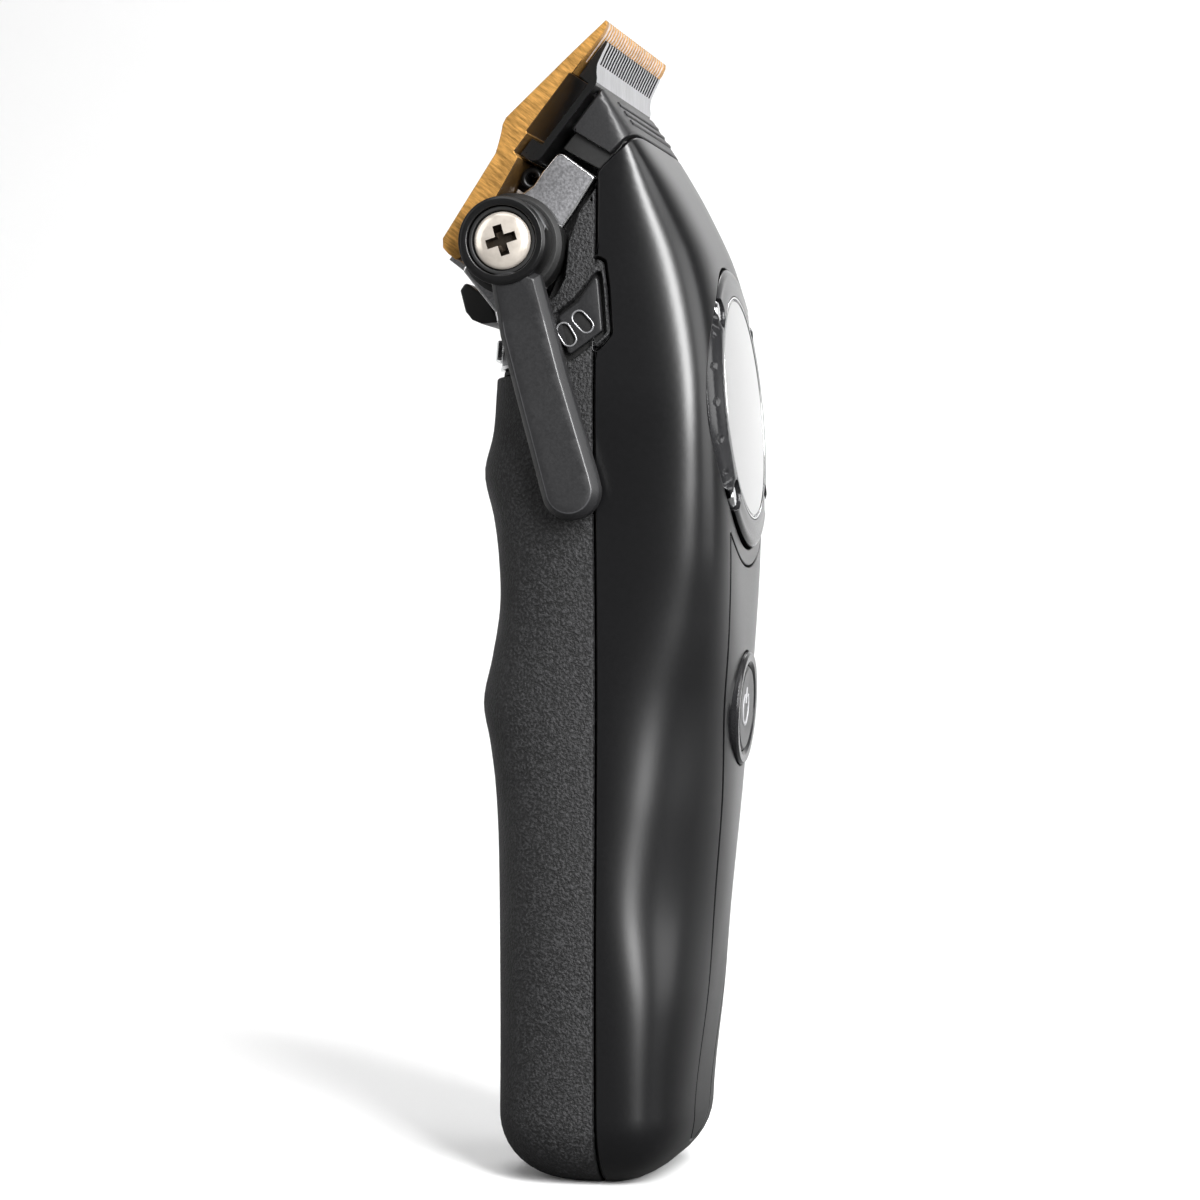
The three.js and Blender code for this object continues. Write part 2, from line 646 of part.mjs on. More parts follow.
function fixedBlade() {
  const outline = [
    [0, 0], [-18.6, -2.9], [-19.7, -2.7], [-20.5, -2.1], [-23.3, -1.1], [-36.8, 0.1], [-37.8, 0.9],
    [-BLADE_HEEL, 2], [-BLADE_HEEL, 3.3], [-37.4, heelFace(-37.4)], [-26.8, heelFace(-26.8)],
    [-21.9, 1.8], [-21.6, CUT_FACE], [-18.6, CUT_FACE], [-18.4, 0.5], [-8.6, 0.5], [-8.4, CUT_FACE],
    [-1.6, CUT_FACE], [0, 0.4],
  ];
  const slots = [];
  const count = Math.floor((BLADE_WIDTH - 2 * GUARD_TOOTH) / SLOT_PITCH);
  for (let i = 0; i < count; i += 1) {
    const y = (i - (count - 1) / 2) * SLOT_PITCH;
    const reach = [[-SLOT_DEPTH, -6], [3, -6], [3, 4], [-SLOT_DEPTH, 4]];
    slots.push(bladeSlab(reach, y - SLOT_WIDTH / 2, y + SLOT_WIDTH / 2));
  }
  return cut(bladeSlab(outline, -BLADE_HALF, BLADE_HALF), ...slots, ...bladeScrewCuts(8));
}

function cutterBlade() {
  const foot = CUT_FACE + GAP;
  const inner = BRIDGE_TOP - BRIDGE_PLATE;
  const tip = -CUTTER_SETBACK;
  const outline = [
    [tip, foot], [tip, foot + 0.35], [tip - CUTTER_TOOTH, 2.15], [-6.9, 3.3], [-7.7, BRIDGE_TOP],
    [-BRIDGE_END + 0.7, BRIDGE_TOP], [-BRIDGE_END, BRIDGE_TOP - 0.7], [-BRIDGE_END, foot],
    [-18.7, foot], [-18.7, inner], [-8.2, inner], [-8.2, foot],
  ];
  const slots = [];
  const width = CUTTER_PITCH / 2;
  const count = Math.floor((2 * CUTTER_HALF - CUTTER_PITCH) / CUTTER_PITCH);
  for (let i = 0; i < count; i += 1) {
    const y = (i - (count - 1) / 2) * CUTTER_PITCH;
    const reach = [[tip - CUTTER_TOOTH, 0], [0, 0], [0, 6], [tip - CUTTER_TOOTH, 6]];
    slots.push(bladeSlab(reach, y - width / 2, y + width / 2));
  }
  return cut(bladeSlab(outline, -CUTTER_HALF, CUTTER_HALF), ...slots, ...yokeScrewCuts());
}

const YOKE_SCREW = { u: -16.8, y: 3.4, r: 0.8, head: 1.5, low: 1.5, high: 2.4, end: 5.6 };
const YOKE_PRONG = CAM_PIN_R + 2 * STROKE + GAP;
const YOKE_HALF = YOKE_PRONG + YOKE_SIDE;

function yokeScrewCuts() {
  const shape = rodY(YOKE_SCREW.r + GAP, -YOKE_SCREW.end - GAP, 0, [0, 0], 16);
  return [-1, 1].map((side) => placed(shape, bladeGroup([YOKE_SCREW.u, 0], side * YOKE_SCREW.y)));
}

function cutterYoke() {
  const pad = BRIDGE_TOP + GAP + 0.05;
  const outline = [
    onBlade([-20.8, pad]), onBlade([-15.4, pad]), onBlade([-15.4, 6]), [3.2, 137],
    [MOTOR_X + 3.1, YOKE_SLOT_HIGH + 0.5], [MOTOR_X + 3.1, YOKE_LOW], [MOTOR_X - 3.1, YOKE_LOW],
    [MOTOR_X - 3.1, YOKE_SLOT_HIGH + 0.5], onBlade([-20.8, 6]),
  ];
  return cut(
    slab(outline, -YOKE_HALF, YOKE_HALF),
    box(-FAR, FAR, -YOKE_PRONG, YOKE_PRONG, YOKE_LOW - 1, YOKE_SLOT_HIGH),
    ...yokeScrewCuts(),
  );
}

function tensionSpring() {
  const bar = [-23.3, 3.6];
  const wire = 0.55;
  const leg = [
    [bar[0] - wire, bar[1] - wire], [bar[0] + wire, bar[1] - wire], [-22, 4.3], [-19, 4.3], [-19, 5.1],
    [-22.4, 5.1],
  ];
  return join(
    rodY(wire, -CHEEK_IN + GAP, CHEEK_IN - GAP, onBlade(bar), 12),
    bothSides(leg.map(onBlade), SLIDER_HALF - 3.4, SLIDER_HALF - 2),
  );
}

function bladeSlider() {
  const top = SLIDER_TOP_U;
  const wedge = [
    [top, heelFace(top) + GAP], [-38.2, heelFace(-38.2) + GAP],
    [-38.2, SLIDER_BOTTOM], [top, SLIDER_BOTTOM],
  ];
  const outer = -BLADE_HEEL - GAP - LIP;
  const lip = [
    [outer + LIP, 0.8], [outer, 0.8], [outer, SLIDER_BOTTOM], [-37.5, SLIDER_BOTTOM],
    [-37.5, 4.6], [outer + LIP, 4.6],
  ];
  const rest = radians(LEVER_SWING / 2);
  const pivotU = (PIVOT[0] - BLADE_TIP[0]) * Math.sin(TILT) + (PIVOT[1] - BLADE_TIP[1]) * Math.cos(TILT);
  const pinU = pivotU + PIN_THROW * Math.sin(rest);
  const side = PIN_R + GAP;
  const notch = [[pinU - side, -2], [pinU + side, -2], [pinU + side, 9], [pinU - side, 9]];
  return cut(
    join(bladeSlab(wedge, -SLIDER_HALF, SLIDER_HALF), bothSides(lip.map(onBlade), LIP_INNER, SLIDER_HALF)),
    bladeSlab(notch, -SLIDER_HALF - 1, PIN_END + 0.5),
    ...bladeScrewCuts(8),
  );
}

// ---------------------------------------------------------------- lever

const leverGroup = new THREE.Group();
leverGroup.position.set(PIVOT[0], 0, PIVOT[1]);
clipper.add(leverGroup);

function taperLever() {
  const shape = new THREE.Shape();
  shape.moveTo(-3, -4.6);
  shape.lineTo(-2, -8);
  shape.lineTo(5.5, -33.2);
  shape.absarc(8.9, -32.9, ARM_TIP_R, Math.PI, 2 * Math.PI, false);
  shape.lineTo(8, -21.6);
  shape.lineTo(5, -12);
  shape.lineTo(4.3, -4);
  shape.closePath();
  const arm = new THREE.ExtrudeGeometry(shape, {
    depth: ARM_INNER - ARM_OUTER - 2 * ARM_BEVEL,
    bevelThickness: ARM_BEVEL,
    bevelSize: ARM_BEVEL,
    bevelOffset: -ARM_BEVEL,
    bevelSegments: 1,
    curveSegments: 8,
  });
  arm.rotateX(Math.PI / 2);
  arm.translate(0, ARM_INNER - ARM_BEVEL, 0);
  const floor = HUB_FACE + HUB_RECESS;
  const seat = JOURNAL_END - GAP;
  const hub = turned([
    [JOURNAL_R + GAP, HUB_BACK], [HUB_R, HUB_BACK], [HUB_R, HUB_FACE + 0.5], [HUB_R - 0.5, HUB_FACE],
    [HUB_RECESS_R, HUB_FACE], [HUB_RECESS_R, floor], [LEVER_SCREW_R + GAP, floor],
    [LEVER_SCREW_R + GAP, seat], [JOURNAL_R + GAP, seat],
  ], 30);
  return join(cut(solid(arm), rodY(HUB_R - 0.6, -40, -10)), hub);
}

function leverScrew() {
  const under = HUB_FACE + HUB_RECESS - GAP;
  const head = turned([
    [0, SCREW_END], [LEVER_SCREW_R, SCREW_END], [LEVER_SCREW_R, under], [LEVER_SCREW_HEAD, under],
    [LEVER_SCREW_HEAD, under - 0.9], [3.2, under - 1.5], [2, under - 1.9], [0, under - 2],
  ], 32);
  const arm = [2.3, 0.55];
  const recess = [0, 1].map((turn) => {
    const bar = new THREE.BoxGeometry(2 * arm[0], 2, 2 * arm[1]);
    bar.rotateY((turn * Math.PI) / 2 + radians(17));
    bar.translate(0, under - 1.9, 0);
    return solid(bar);
  });
  return cut(head, ...recess);
}

const leverWasher = () => turned([
  [JOURNAL_R + GAP, BOSS_FACE - GAP], [WASHER_R, BOSS_FACE - GAP],
  [WASHER_R, HUB_BACK + GAP], [JOURNAL_R + GAP, HUB_BACK + GAP],
]);

function leverCrank() {
  const rest = radians(LEVER_SWING / 2);
  const up = [Math.sin(TILT), Math.cos(TILT)];
  const into = [Math.cos(TILT), -Math.sin(TILT)];
  const pin = [0, 1].map((k) => PIN_THROW * (Math.sin(rest) * up[k] - Math.cos(rest) * into[k]));
  const bore = LEVER_SCREW_R + GAP;
  const journal = turned([
    [0, CRANK_INNER], [CRANK_R, CRANK_INNER], [CRANK_R, CRANK_OUTER], [JOURNAL_R, CRANK_OUTER],
    [JOURNAL_R, JOURNAL_END], [bore, JOURNAL_END], [bore, SCREW_END + GAP], [0, SCREW_END + GAP],
  ]);
  return join(journal, rodY(PIN_R, CRANK_INNER - 0.5, PIN_END, pin, 14));
}

// ---------------------------------------------------------------- display and button

const studAngle = (i) => Math.PI / 4 + (i * 2 * Math.PI) / STUD_COUNT;
const studPlace = (i) => [STUD_CIRCLE * Math.sin(studAngle(i)), STUD_CIRCLE * Math.cos(studAngle(i))];

function displayBezel() {
  const ring = turned([
    [BEZEL_BORE, -BEZEL_THICK], [BEZEL_R, -BEZEL_THICK], [BEZEL_R, -0.9], [BEZEL_R - 1.2, 0],
    [BEZEL_BORE + 0.4, 0.3], [BEZEL_BORE, 0.1],
  ], 36);
  const seats = [];
  for (let i = 0; i < STUD_COUNT; i += 1) seats.push(rodY(STUD_R + GAP, -1.5, 4, studPlace(i), 20));
  return cut(ring, ...seats);
}

const displayLens = () => turned([
  [0, -LENS_BACK], [LENS_R, -LENS_BACK], [LENS_R, -0.1], [LENS_R - 0.5, 0.15], [9, LENS_DOME * 0.8],
  [0, LENS_DOME],
], 36);

const bezelStud = () => turned([
  [0, -1.2], [STUD_R, -1.2], [STUD_R, STUD_RISE - 0.3], [STUD_R - 0.4, STUD_RISE], [0, STUD_RISE],
], 20);

const buttonRing = () => turned([
  [BUTTON_R + GAP, -PANEL_THICK], [BUTTON_RING_R, -PANEL_THICK], [BUTTON_RING_R, BUTTON_PROUD - 0.2],
  [BUTTON_RING_R - 0.3, BUTTON_PROUD], [BUTTON_R + 0.6, BUTTON_PROUD], [BUTTON_R + GAP, BUTTON_PROUD - 0.3],
], 30);

const powerButton = () => turned([
  [0, -BUTTON_DEPTH], [BUTTON_R, -BUTTON_DEPTH], [BUTTON_R, 0], [BUTTON_R - 0.5, 0.25], [0, 0.05],
], 36);

// ---------------------------------------------------------------- drive and power

const motorCan = () => turned([
  [0, MOTOR_LOW], [MOTOR_R, MOTOR_LOW], [MOTOR_R, MOTOR_HIGH - 1], [MOTOR_R - 1, MOTOR_HIGH],
  [SHAFT_R + GAP, MOTOR_HIGH], [SHAFT_R + GAP, SHAFT_LOW - GAP], [0, SHAFT_LOW - GAP],
], 36);

const motorCap = () => turned([
  [0, MOTOR_LOW - GAP - MOTOR_CAP], [6, MOTOR_LOW - GAP - MOTOR_CAP], [6.4, MOTOR_LOW - 1.6],
  [MOTOR_R - 0.5, MOTOR_LOW - 1.6], [MOTOR_R - 0.5, MOTOR_LOW - GAP], [0, MOTOR_LOW - GAP],
]);

function motorMount() {
  const ring = turned([
    [BEARING_R + 0.8, MOTOR_HIGH + GAP], [MOTOR_R - 0.4, MOTOR_HIGH + GAP],
    [MOTOR_R - 0.4, DECK_LOW - GAP], [BEARING_R + 0.8, DECK_LOW - GAP],
  ]);
  return cut(ring, ...[-1, 1].map((side) => (
    rodY(1.3, MOTOR_HIGH - 1, DECK_LOW + 1, [0, side * MOTOR_SCREW_Y], 16)
  )));
}

const motorScrew = () => turned([
  [0, MOTOR_HIGH + 0.6], [1, MOTOR_HIGH + 0.6], [1, DECK_HIGH + GAP], [2, DECK_HIGH + GAP],
  [2, DECK_HIGH + 1.2], [1.4, DECK_HIGH + 1.6], [0, DECK_HIGH + 1.6],
], 16);

const shaftBearing = () => turned([
  [SHAFT_R + GAP, DECK_LOW], [BEARING_R, DECK_LOW],
  [BEARING_R, DECK_HIGH + 0.6], [SHAFT_R + GAP, DECK_HIGH + 0.6],
]);

const eccentricCam = () => join(
  turned([
    [0, CAM_HIGH], [CAM_R, CAM_HIGH], [CAM_R, CAM_LOW], [SHAFT_R + GAP, CAM_LOW],
    [SHAFT_R + GAP, SHAFT_HIGH + GAP], [0, SHAFT_HIGH + GAP],
  ]),
  rodY(CAM_PIN_R, CAM_HIGH - 0.5, CAM_PIN_HIGH, [STROKE, 0], 20),
);

function batteryCradle() {
  const [low, high] = [CELL_LOW + 2, CELL_LOW + CELL_LENGTH - 2];
  const inner = CELL_R + GAP;
  const trough = cut(
    rodZ(inner + CRADLE_WALL, low, high, [CELL_X, 0], 36),
    rodZ(inner, low - 1, high + 1, [CELL_X, 0], 36),
  );
  return common(trough, box(-FAR, CELL_X, -FAR, FAR, 0, FAR * 3));
}

// ---------------------------------------------------------------- assembly

add(clipper, 'front_shell', frontShell(), FINISH.gloss);
add(clipper, 'rear_cover', rearCover(), FINISH.matte);
add(clipper, 'front_panel', frontPanel(), FINISH.satin);
add(clipper, 'nose_cover', noseCover(), FINISH.satin);
add(clipper, 'detent_plate', detentPlate(), FINISH.satin);
add(clipper, 'neck_seal', neckSeal(), FINISH.rubber);
add(clipper, 'neck_clip', neckClip(), FINISH.steel);

add(clipper, 'head_frame', headFrame(), FINISH.cast);
add(clipper, 'chin_guard', chinGuard(), FINISH.matte);
add(clipper, 'fixed_blade', fixedBlade(), FINISH.gold);
add(clipper, 'blade_slider', bladeSlider(), FINISH.steel);
add(clipper, 'cutter_blade', cutterBlade(), FINISH.coated);
add(clipper, 'cutter_yoke', cutterYoke(), FINISH.matte);
add(clipper, 'tension_spring', tensionSpring(), FINISH.steel);
[-1, 1].forEach((side, i) => {
  const blade = bladeGroup([BLADE_SCREW_U, 0], side * BLADE_SCREW_Y);
  const r = BLADE_SCREW_R;
  const rim = BLADE_SCREW_HEAD;
  const screw = turned([[0, -5.2], [r, -5.2], [r, -1.3], [rim, 0.1], [rim, 0.3], [0, 0.3]], 20);
  add(blade, `blade_screw_${i + 1}`, screw, FINISH.nickel);
  const yoke = bladeGroup([YOKE_SCREW.u, 0], side * YOKE_SCREW.y);
  const { low, high, end, head } = YOKE_SCREW;
  const small = turned([
    [0, -end], [YOKE_SCREW.r, -end], [YOKE_SCREW.r, -high], [head, -high], [head, -low - 0.3],
    [head - 0.3, -low], [0, -low],
  ], 16);
  add(yoke, `yoke_screw_${i + 1}`, small, FINISH.steel);
});

add(leverGroup, 'taper_lever', taperLever(), FINISH.satin);
add(leverGroup, 'lever_screw', leverScrew(), FINISH.nickel);
add(leverGroup, 'lever_washer', leverWasher(), FINISH.steel);
add(leverGroup, 'lever_crank', leverCrank(), FINISH.steel);

add(displayGroup, 'display_bezel', displayBezel(), FINISH.gloss);
add(displayGroup, 'display_lens', displayLens(), FINISH.glass);
add(displayGroup, 'display_module', rodY(MODULE_R, -MODULE_BACK, -MODULE_FRONT, [0, 0], 32), FINISH.board);
for (let i = 0; i < STUD_COUNT; i += 1) {
  const seat = new THREE.Group();
  const [x, z] = studPlace(i);
  seat.position.set(x, 0, z);
  displayGroup.add(seat);
  add(seat, `bezel_stud_${i + 1}`, bezelStud(), FINISH.steel);
}
add(buttonGroup, 'button_ring', buttonRing(), FINISH.gloss);
add(buttonGroup, 'power_button', powerButton(), FINISH.satin);

const boardFace = BOARD.x + BOARD.thick;
const board = box(BOARD.x, boardFace, -BOARD.half, BOARD.half, BOARD.low, BOARD.high);
add(clipper, 'control_board', board, FINISH.board);
const buttonBack = BUTTON[0] - BUTTON_DEPTH - BUTTON_PRESS - 2 * GAP;
const switchZ = [BUTTON[1] - SWITCH_HALF, BUTTON[1] + SWITCH_HALF];
const switchBody = box(boardFace + GAP, buttonBack, -SWITCH_HALF, SWITCH_HALF, ...switchZ);
add(clipper, 'power_switch', switchBody, FINISH.rubber);

const motorGroup = new THREE.Group();
motorGroup.position.set(MOTOR_X, 0, 0);
motorGroup.rotation.set(Math.PI / 2, 0, 0);
clipper.add(motorGroup);
add(motorGroup, 'motor_can', motorCan(), FINISH.steel);
add(motorGroup, 'motor_cap', motorCap(), FINISH.matte);
add(motorGroup, 'motor_mount', motorMount(), FINISH.rubber);
add(motorGroup, 'shaft_bearing', shaftBearing(), FINISH.brass);
add(motorGroup, 'motor_shaft', rodY(SHAFT_R, SHAFT_LOW, SHAFT_HIGH, [0, 0], 16), FINISH.steel);
add(motorGroup, 'eccentric_cam', eccentricCam(), FINISH.steel);
[-1, 1].forEach((side, i) => {
  const seat = new THREE.Group();
  seat.position.set(0, 0, side * MOTOR_SCREW_Y);
  motorGroup.add(seat);
  add(seat, `motor_screw_${i + 1}`, motorScrew(), FINISH.steel);
});

const cellTop = CELL_LOW + CELL_LENGTH;
add(clipper, 'battery_cell', rodZ(CELL_R, CELL_LOW, cellTop, [CELL_X, 0], 36), FINISH.wrap);
add(clipper, 'battery_cradle', batteryCradle(), FINISH.matte);
[CELL_LOW - GAP - 0.6, cellTop + GAP].forEach((low, i) => {
  const strip = box(CELL_X - 3, CELL_X + 3, -5, 5, low, low + 0.6);
  add(clipper, `battery_terminal_${i + 1}`, strip, FINISH.brass);
});
[-1, 1].forEach((side, i) => {
  const contact = new THREE.Group();
  contact.position.set(-along(BACK, CONTACT_Z) + CONTACT_RECESS.depth - 0.3, side * CONTACT_Y, CONTACT_Z);
  contact.rotation.set(0, 0, -Math.PI / 2);
  clipper.add(contact);
  add(contact, `charge_contact_${i + 1}`, rodY(CONTACT_R, 0, 2.4, [0, 0], 20), FINISH.brass);
});

export default clipper;
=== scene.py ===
"""Hair clipper: the visible pieces, their finishes and a plain studio.

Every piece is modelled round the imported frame, in metres, +Z up, +X to the front, -Y to the lever side.
"""

import math

import bmesh
import bpy
import numpy as np
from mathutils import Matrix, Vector
from mathutils.geometry import delaunay_2d_cdt


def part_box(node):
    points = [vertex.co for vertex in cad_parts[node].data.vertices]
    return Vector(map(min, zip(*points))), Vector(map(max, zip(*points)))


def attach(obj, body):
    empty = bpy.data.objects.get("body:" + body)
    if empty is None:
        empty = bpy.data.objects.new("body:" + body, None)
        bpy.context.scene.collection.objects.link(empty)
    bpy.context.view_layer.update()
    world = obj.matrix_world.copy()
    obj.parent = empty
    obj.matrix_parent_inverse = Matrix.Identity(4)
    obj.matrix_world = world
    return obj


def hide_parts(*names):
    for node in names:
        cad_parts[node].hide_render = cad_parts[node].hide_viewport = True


bl_info = {
    "name": "Hair Clipper",
    "version": (1, 0, 0),
    "blender": (4, 5, 0),
    "location": "View3D > Sidebar > Clipper",
    "description": "Builds a cordless hair clipper and a plain studio round its packed frame",
    "category": "Add Mesh",
}

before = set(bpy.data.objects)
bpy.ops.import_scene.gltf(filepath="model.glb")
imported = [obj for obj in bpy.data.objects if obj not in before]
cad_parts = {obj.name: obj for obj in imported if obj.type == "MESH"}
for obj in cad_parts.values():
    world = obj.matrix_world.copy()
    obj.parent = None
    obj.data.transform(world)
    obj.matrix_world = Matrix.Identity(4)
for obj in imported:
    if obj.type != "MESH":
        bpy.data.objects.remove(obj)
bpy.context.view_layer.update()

MM = 0.001

# ---------------------------------------------------------------- sizes, in millimetres

SPLIT = 3.4                      # X of the seam between the shells
END_ROUND = 9.0                  # rounding of the closed lower end
BODY_HALF = 22.0
BACK_SQUARE = 2.8
FRONT = [
    (0, 14.3), (12, 14.9), (27, 17), (45, 19), (60, 20.3), (73, 20.95), (90, 21.15), (104, 20.9),
    (112, 20.5), (119, 19.7), (124, 18.6), (129, 16.9), (136, 13.4), (140, 10.9), (144, 8.2), (150, 3.9),
]
BACK = [
    (0, 13), (20, 12.85), (45, 13.1), (54, 13.6), (60, 14.4), (65.8, 15.4), (72, 14.1), (79, 12.95),
    (86, 13.1), (91.5, 13.8), (97.5, 15.1), (103, 13.8), (109, 13.3), (120, 12.6), (150, 12),
]
WIDTH_SHARE = [
    (0, 0.955), (20, 0.968), (35, 0.964), (50, 0.945), (65, 0.932), (80, 0.945), (95, 0.982), (107, 1),
    (118, 0.964), (128, 0.918), (136, 0.9), (150, 0.891),
]
FRONT_SQUARE = [
    (0, 3.8), (12, 3.4), (23, 2.9), (37, 2.2), (51, 2.3), (66, 2.7), (77, 3.8), (87, 5),
    (107, 5.8), (122, 4.7), (136, 4.4), (143, 6), (150, 7),
]
SHELL_TOP = ((5.3, 139.9), (9.5, 143.9))
COVER_TOP = 110.6
EAR_EDGE = [(3.25, 135.75), (0.9, 132.4), (-0.5, 128.6), (-0.9, 123.6), (-2.2, 121.2), (-5.2, 119.4)]
TONGUE = [(3.4, 112.9), (5.9, 115.9), (5.4, 122.1), (4.8, 126), (3.4, 126.6)]
DETENT_PLATE = [(3.85, 124.1), (4.55, 116.3), (-0.1, 113), (-1.5, 118.3), (1.1, 120.2)]
DETENT_Y = -21.3
MARKS = {"radius": 14.5, "angles": (31.7, 42.8), "length": 3.2, "width": 1.7}

BLADE_TIP = (5.2, 158.2)
BLADE_TILT = math.radians(37.9)

PIVOT = (-8.0, 128.2)
HUB = {"radius": 6.0, "face": 27.8, "back": 22.9, "recess_radius": 4.75, "recess": 1.4, "bore": 3.3}
ARM = {"inner": -22.9, "outer": -26.4}

DISPLAY = {"centre": (20.4, 106.7), "tilt": 5.0, "outer": 19.5, "bore": 15.6, "lens": 15.35}
STUDS = {"circle": 17.7, "radius": 1.7, "seat": 2.05}
BUTTON = {"centre": (20.75, 64.8), "tilt": -4.0, "ring": 7.9, "cap": 5.9}
PANEL_SIDE = [(6.2, 11), (6.5, 23), (8, 51), (10.4, 66), (13.2, 88.8)]
PANEL_TOE = 4.2
PANEL_RING = 22.2


class ClipperSizes(bpy.types.PropertyGroup):
    """Sizes that can be changed without moving the frame."""

    facet: bpy.props.FloatProperty(
        name="Facet", description="Spacing of the mesh on the curved shells", default=1.3 * MM, unit="LENGTH")
    rounding: bpy.props.FloatProperty(
        name="Edge rounding", description="Radius of moulded edges", default=0.3 * MM, unit="LENGTH")
    seam: bpy.props.FloatProperty(
        name="Seam", description="Width of the joint lines between shells", default=0.3 * MM, unit="LENGTH")
    turn_facets: bpy.props.IntProperty(
        name="Turned facets", description="Facets round a turned piece", default=96)


class ClipperColours(bpy.types.PropertyGroup):
    """Base colours of the finishes."""

    shell: bpy.props.FloatVectorProperty(
        name="Front shell", description="Semi-gloss shell", subtype="COLOR", default=(0.003, 0.003, 0.0034))
    cover: bpy.props.FloatVectorProperty(
        name="Rear cover", description="Matte textured cover", subtype="COLOR",
        default=(0.007, 0.007, 0.0073))
    trim: bpy.props.FloatVectorProperty(
        name="Trim", description="Satin lever, nose and panel", subtype="COLOR",
        default=(0.012, 0.012, 0.0128))
    gold: bpy.props.FloatVectorProperty(
        name="Blade", description="Coating of the fixed blade", subtype="COLOR", default=(0.55, 0.29, 0.078))
    zinc: bpy.props.FloatVectorProperty(
        name="Head frame", description="Blasted casting", subtype="COLOR", default=(0.2, 0.2, 0.207))
    nickel: bpy.props.FloatVectorProperty(
        name="Screws", description="Plated screws", subtype="COLOR", default=(0.78, 0.71, 0.63))


def sizes():
    return bpy.context.scene.clipper_sizes


def colours():
    return bpy.context.scene.clipper_colours


# ---------------------------------------------------------------- body surface


def along(profile, height):
    """Smooth value of a profile of (height, value) pairs."""
    last = len(profile) - 1
    if height <= profile[0][0]:
        return profile[0][1]
    if height >= profile[last][0]:
        return profile[last][1]
    at = next(i for i, point in enumerate(profile) if point[0] > height) - 1

    def slope(i):
        a, b = profile[max(i - 1, 0)], profile[min(i + 1, last)]
        return (b[1] - a[1]) / (b[0] - a[0])

    (z0, v0), (z1, v1) = profile[at], profile[at + 1]
    step = z1 - z0
    t = (height - z0) / step
    value = v0 + (v1 - v0) * t * t * (3 - 2 * t)
    return value + step * (t * (1 - t) ** 2 * slope(at) + t * t * (t - 1) * slope(at + 1))


RIM_V = END_ROUND * (1 - math.pi / 2)   # where the rounded end meets the flat underneath
FLAT_V = 12.0                           # run of the flat, from its rim to its middle
SECTION_STEPS = 24


def ring(v, front):
    """Reach, half width, squareness and height of a quarter section at v, measured up the surface."""
    shrink = 1.0
    if v >= END_ROUND:
        z, pull = v, 0.0
    elif v >= RIM_V:
        turn = (END_ROUND - v) / END_ROUND
        z, pull = END_ROUND * (1 - math.sin(turn)), END_ROUND * (1 - math.cos(turn))
    else:
        z, pull = 0.0, END_ROUND
        shrink = max(1 - (RIM_V - v) / FLAT_V, 0.02)
    reach = (along(FRONT, z) - SPLIT if front else along(BACK, z) + SPLIT) - pull
    half = along(WIDTH_SHARE, z) * BODY_HALF - pull
    return reach * shrink, half * shrink, along(FRONT_SQUARE, z) if front else BACK_SQUARE, z


def quarter(q, power):
    """Point of a unit superellipse; q runs from 0 on the middle plane to 1 on the seam."""
    corner = 0.5 ** (1 / power)
    if q <= 0.5:
        y = 2 * q * corner
        return (1 - y ** power) ** (1 / power), y
    x = 2 * (1 - q) * corner
    return x, (1 - x ** power) ** (1 / power)


Q = np.linspace(0, 1, 2 * SECTION_STEPS + 1)
_arcs = {}


def arcs(v, front):
    """Arc length from the middle plane at each step of q."""
    key = (round(v, 3), front)
    if key not in _arcs:
        reach, half, power, _ = ring(v, front)
        corner = 0.5 ** (1 / power)
        near = np.minimum(Q, 1 - Q) * 2 * corner
        far = (1 - near ** power) ** (1 / power)
        x = np.where(Q <= 0.5, far, near) * reach
        y = np.where(Q <= 0.5, near, far) * half
        _arcs[key] = np.concatenate([[0], np.cumsum(np.hypot(np.diff(x), np.diff(y)))])
    return _arcs[key]


def body_point(q, v, front, side):
    reach, half, power, z = ring(v, front)
    x, y = quarter(min(max(q, 0), 1), power)
    return Vector((SPLIT + (x * reach if front else -x * reach), side * y * half, z))


def locate(s, v, front):
    """Which quarter a surface position falls in: s is measured from the front or the back middle."""
    side = 1 if s >= 0 else -1
    here = arcs(v, front)
    if abs(s) > here[-1]:
        other = arcs(v, not front)
        return float(np.interp(other[-1] - (abs(s) - here[-1]), other, Q)), not front, side
    return float(np.interp(abs(s), here, Q)), front, side


def body(s, v, depth=0.0, front=True):
    """Position and outward normal at (s, v), depth below the surface."""
    q, face, side = locate(s, v, front)
    here = body_point(q, v, face, side)
    reach, half, power, _ = ring(v, face)
    x, y = quarter(q, power)
    out = Vector(((1 if face else -1) * max(x, 1e-9) ** (power - 1) / reach,
                  side * max(y, 1e-9) ** (power - 1) / half, 0))
    if out.length == 0:
        out = Vector((1 if face else -1, 0, 0))
    out.normalize()
    tangent = Vector((-out.y, out.x, 0))
    rise = body_point(q, v + 0.02, face, side) - body_point(q, v - 0.02, face, side)
    normal = tangent.cross(rise)
    if v < RIM_V + 0.01:
        normal = Vector((0, 0, -1))
    if normal.length < 1e-9:
        normal = out
    normal.normalize()
    if v >= RIM_V + 0.01 and normal.dot(out) < 0:
        normal.negate()
    return here - normal * depth, normal


def s_from_side(x, z, side, front=True):
    """Surface position of a point given in the side view."""
    face = x >= SPLIT
    reach, _, power, _ = ring(z, face)
    share = min(abs(x - SPLIT) / reach, 1)
    corner = 0.5 ** (1 / power)
    q = 1 - share / (2 * corner) if share <= corner else (1 - share ** power) ** (1 / power) / (2 * corner)
    s = float(np.interp(q, Q, arcs(z, face)))
    if face != front:
        s = arcs(z, front)[-1] + arcs(z, face)[-1] - s
    return side * s


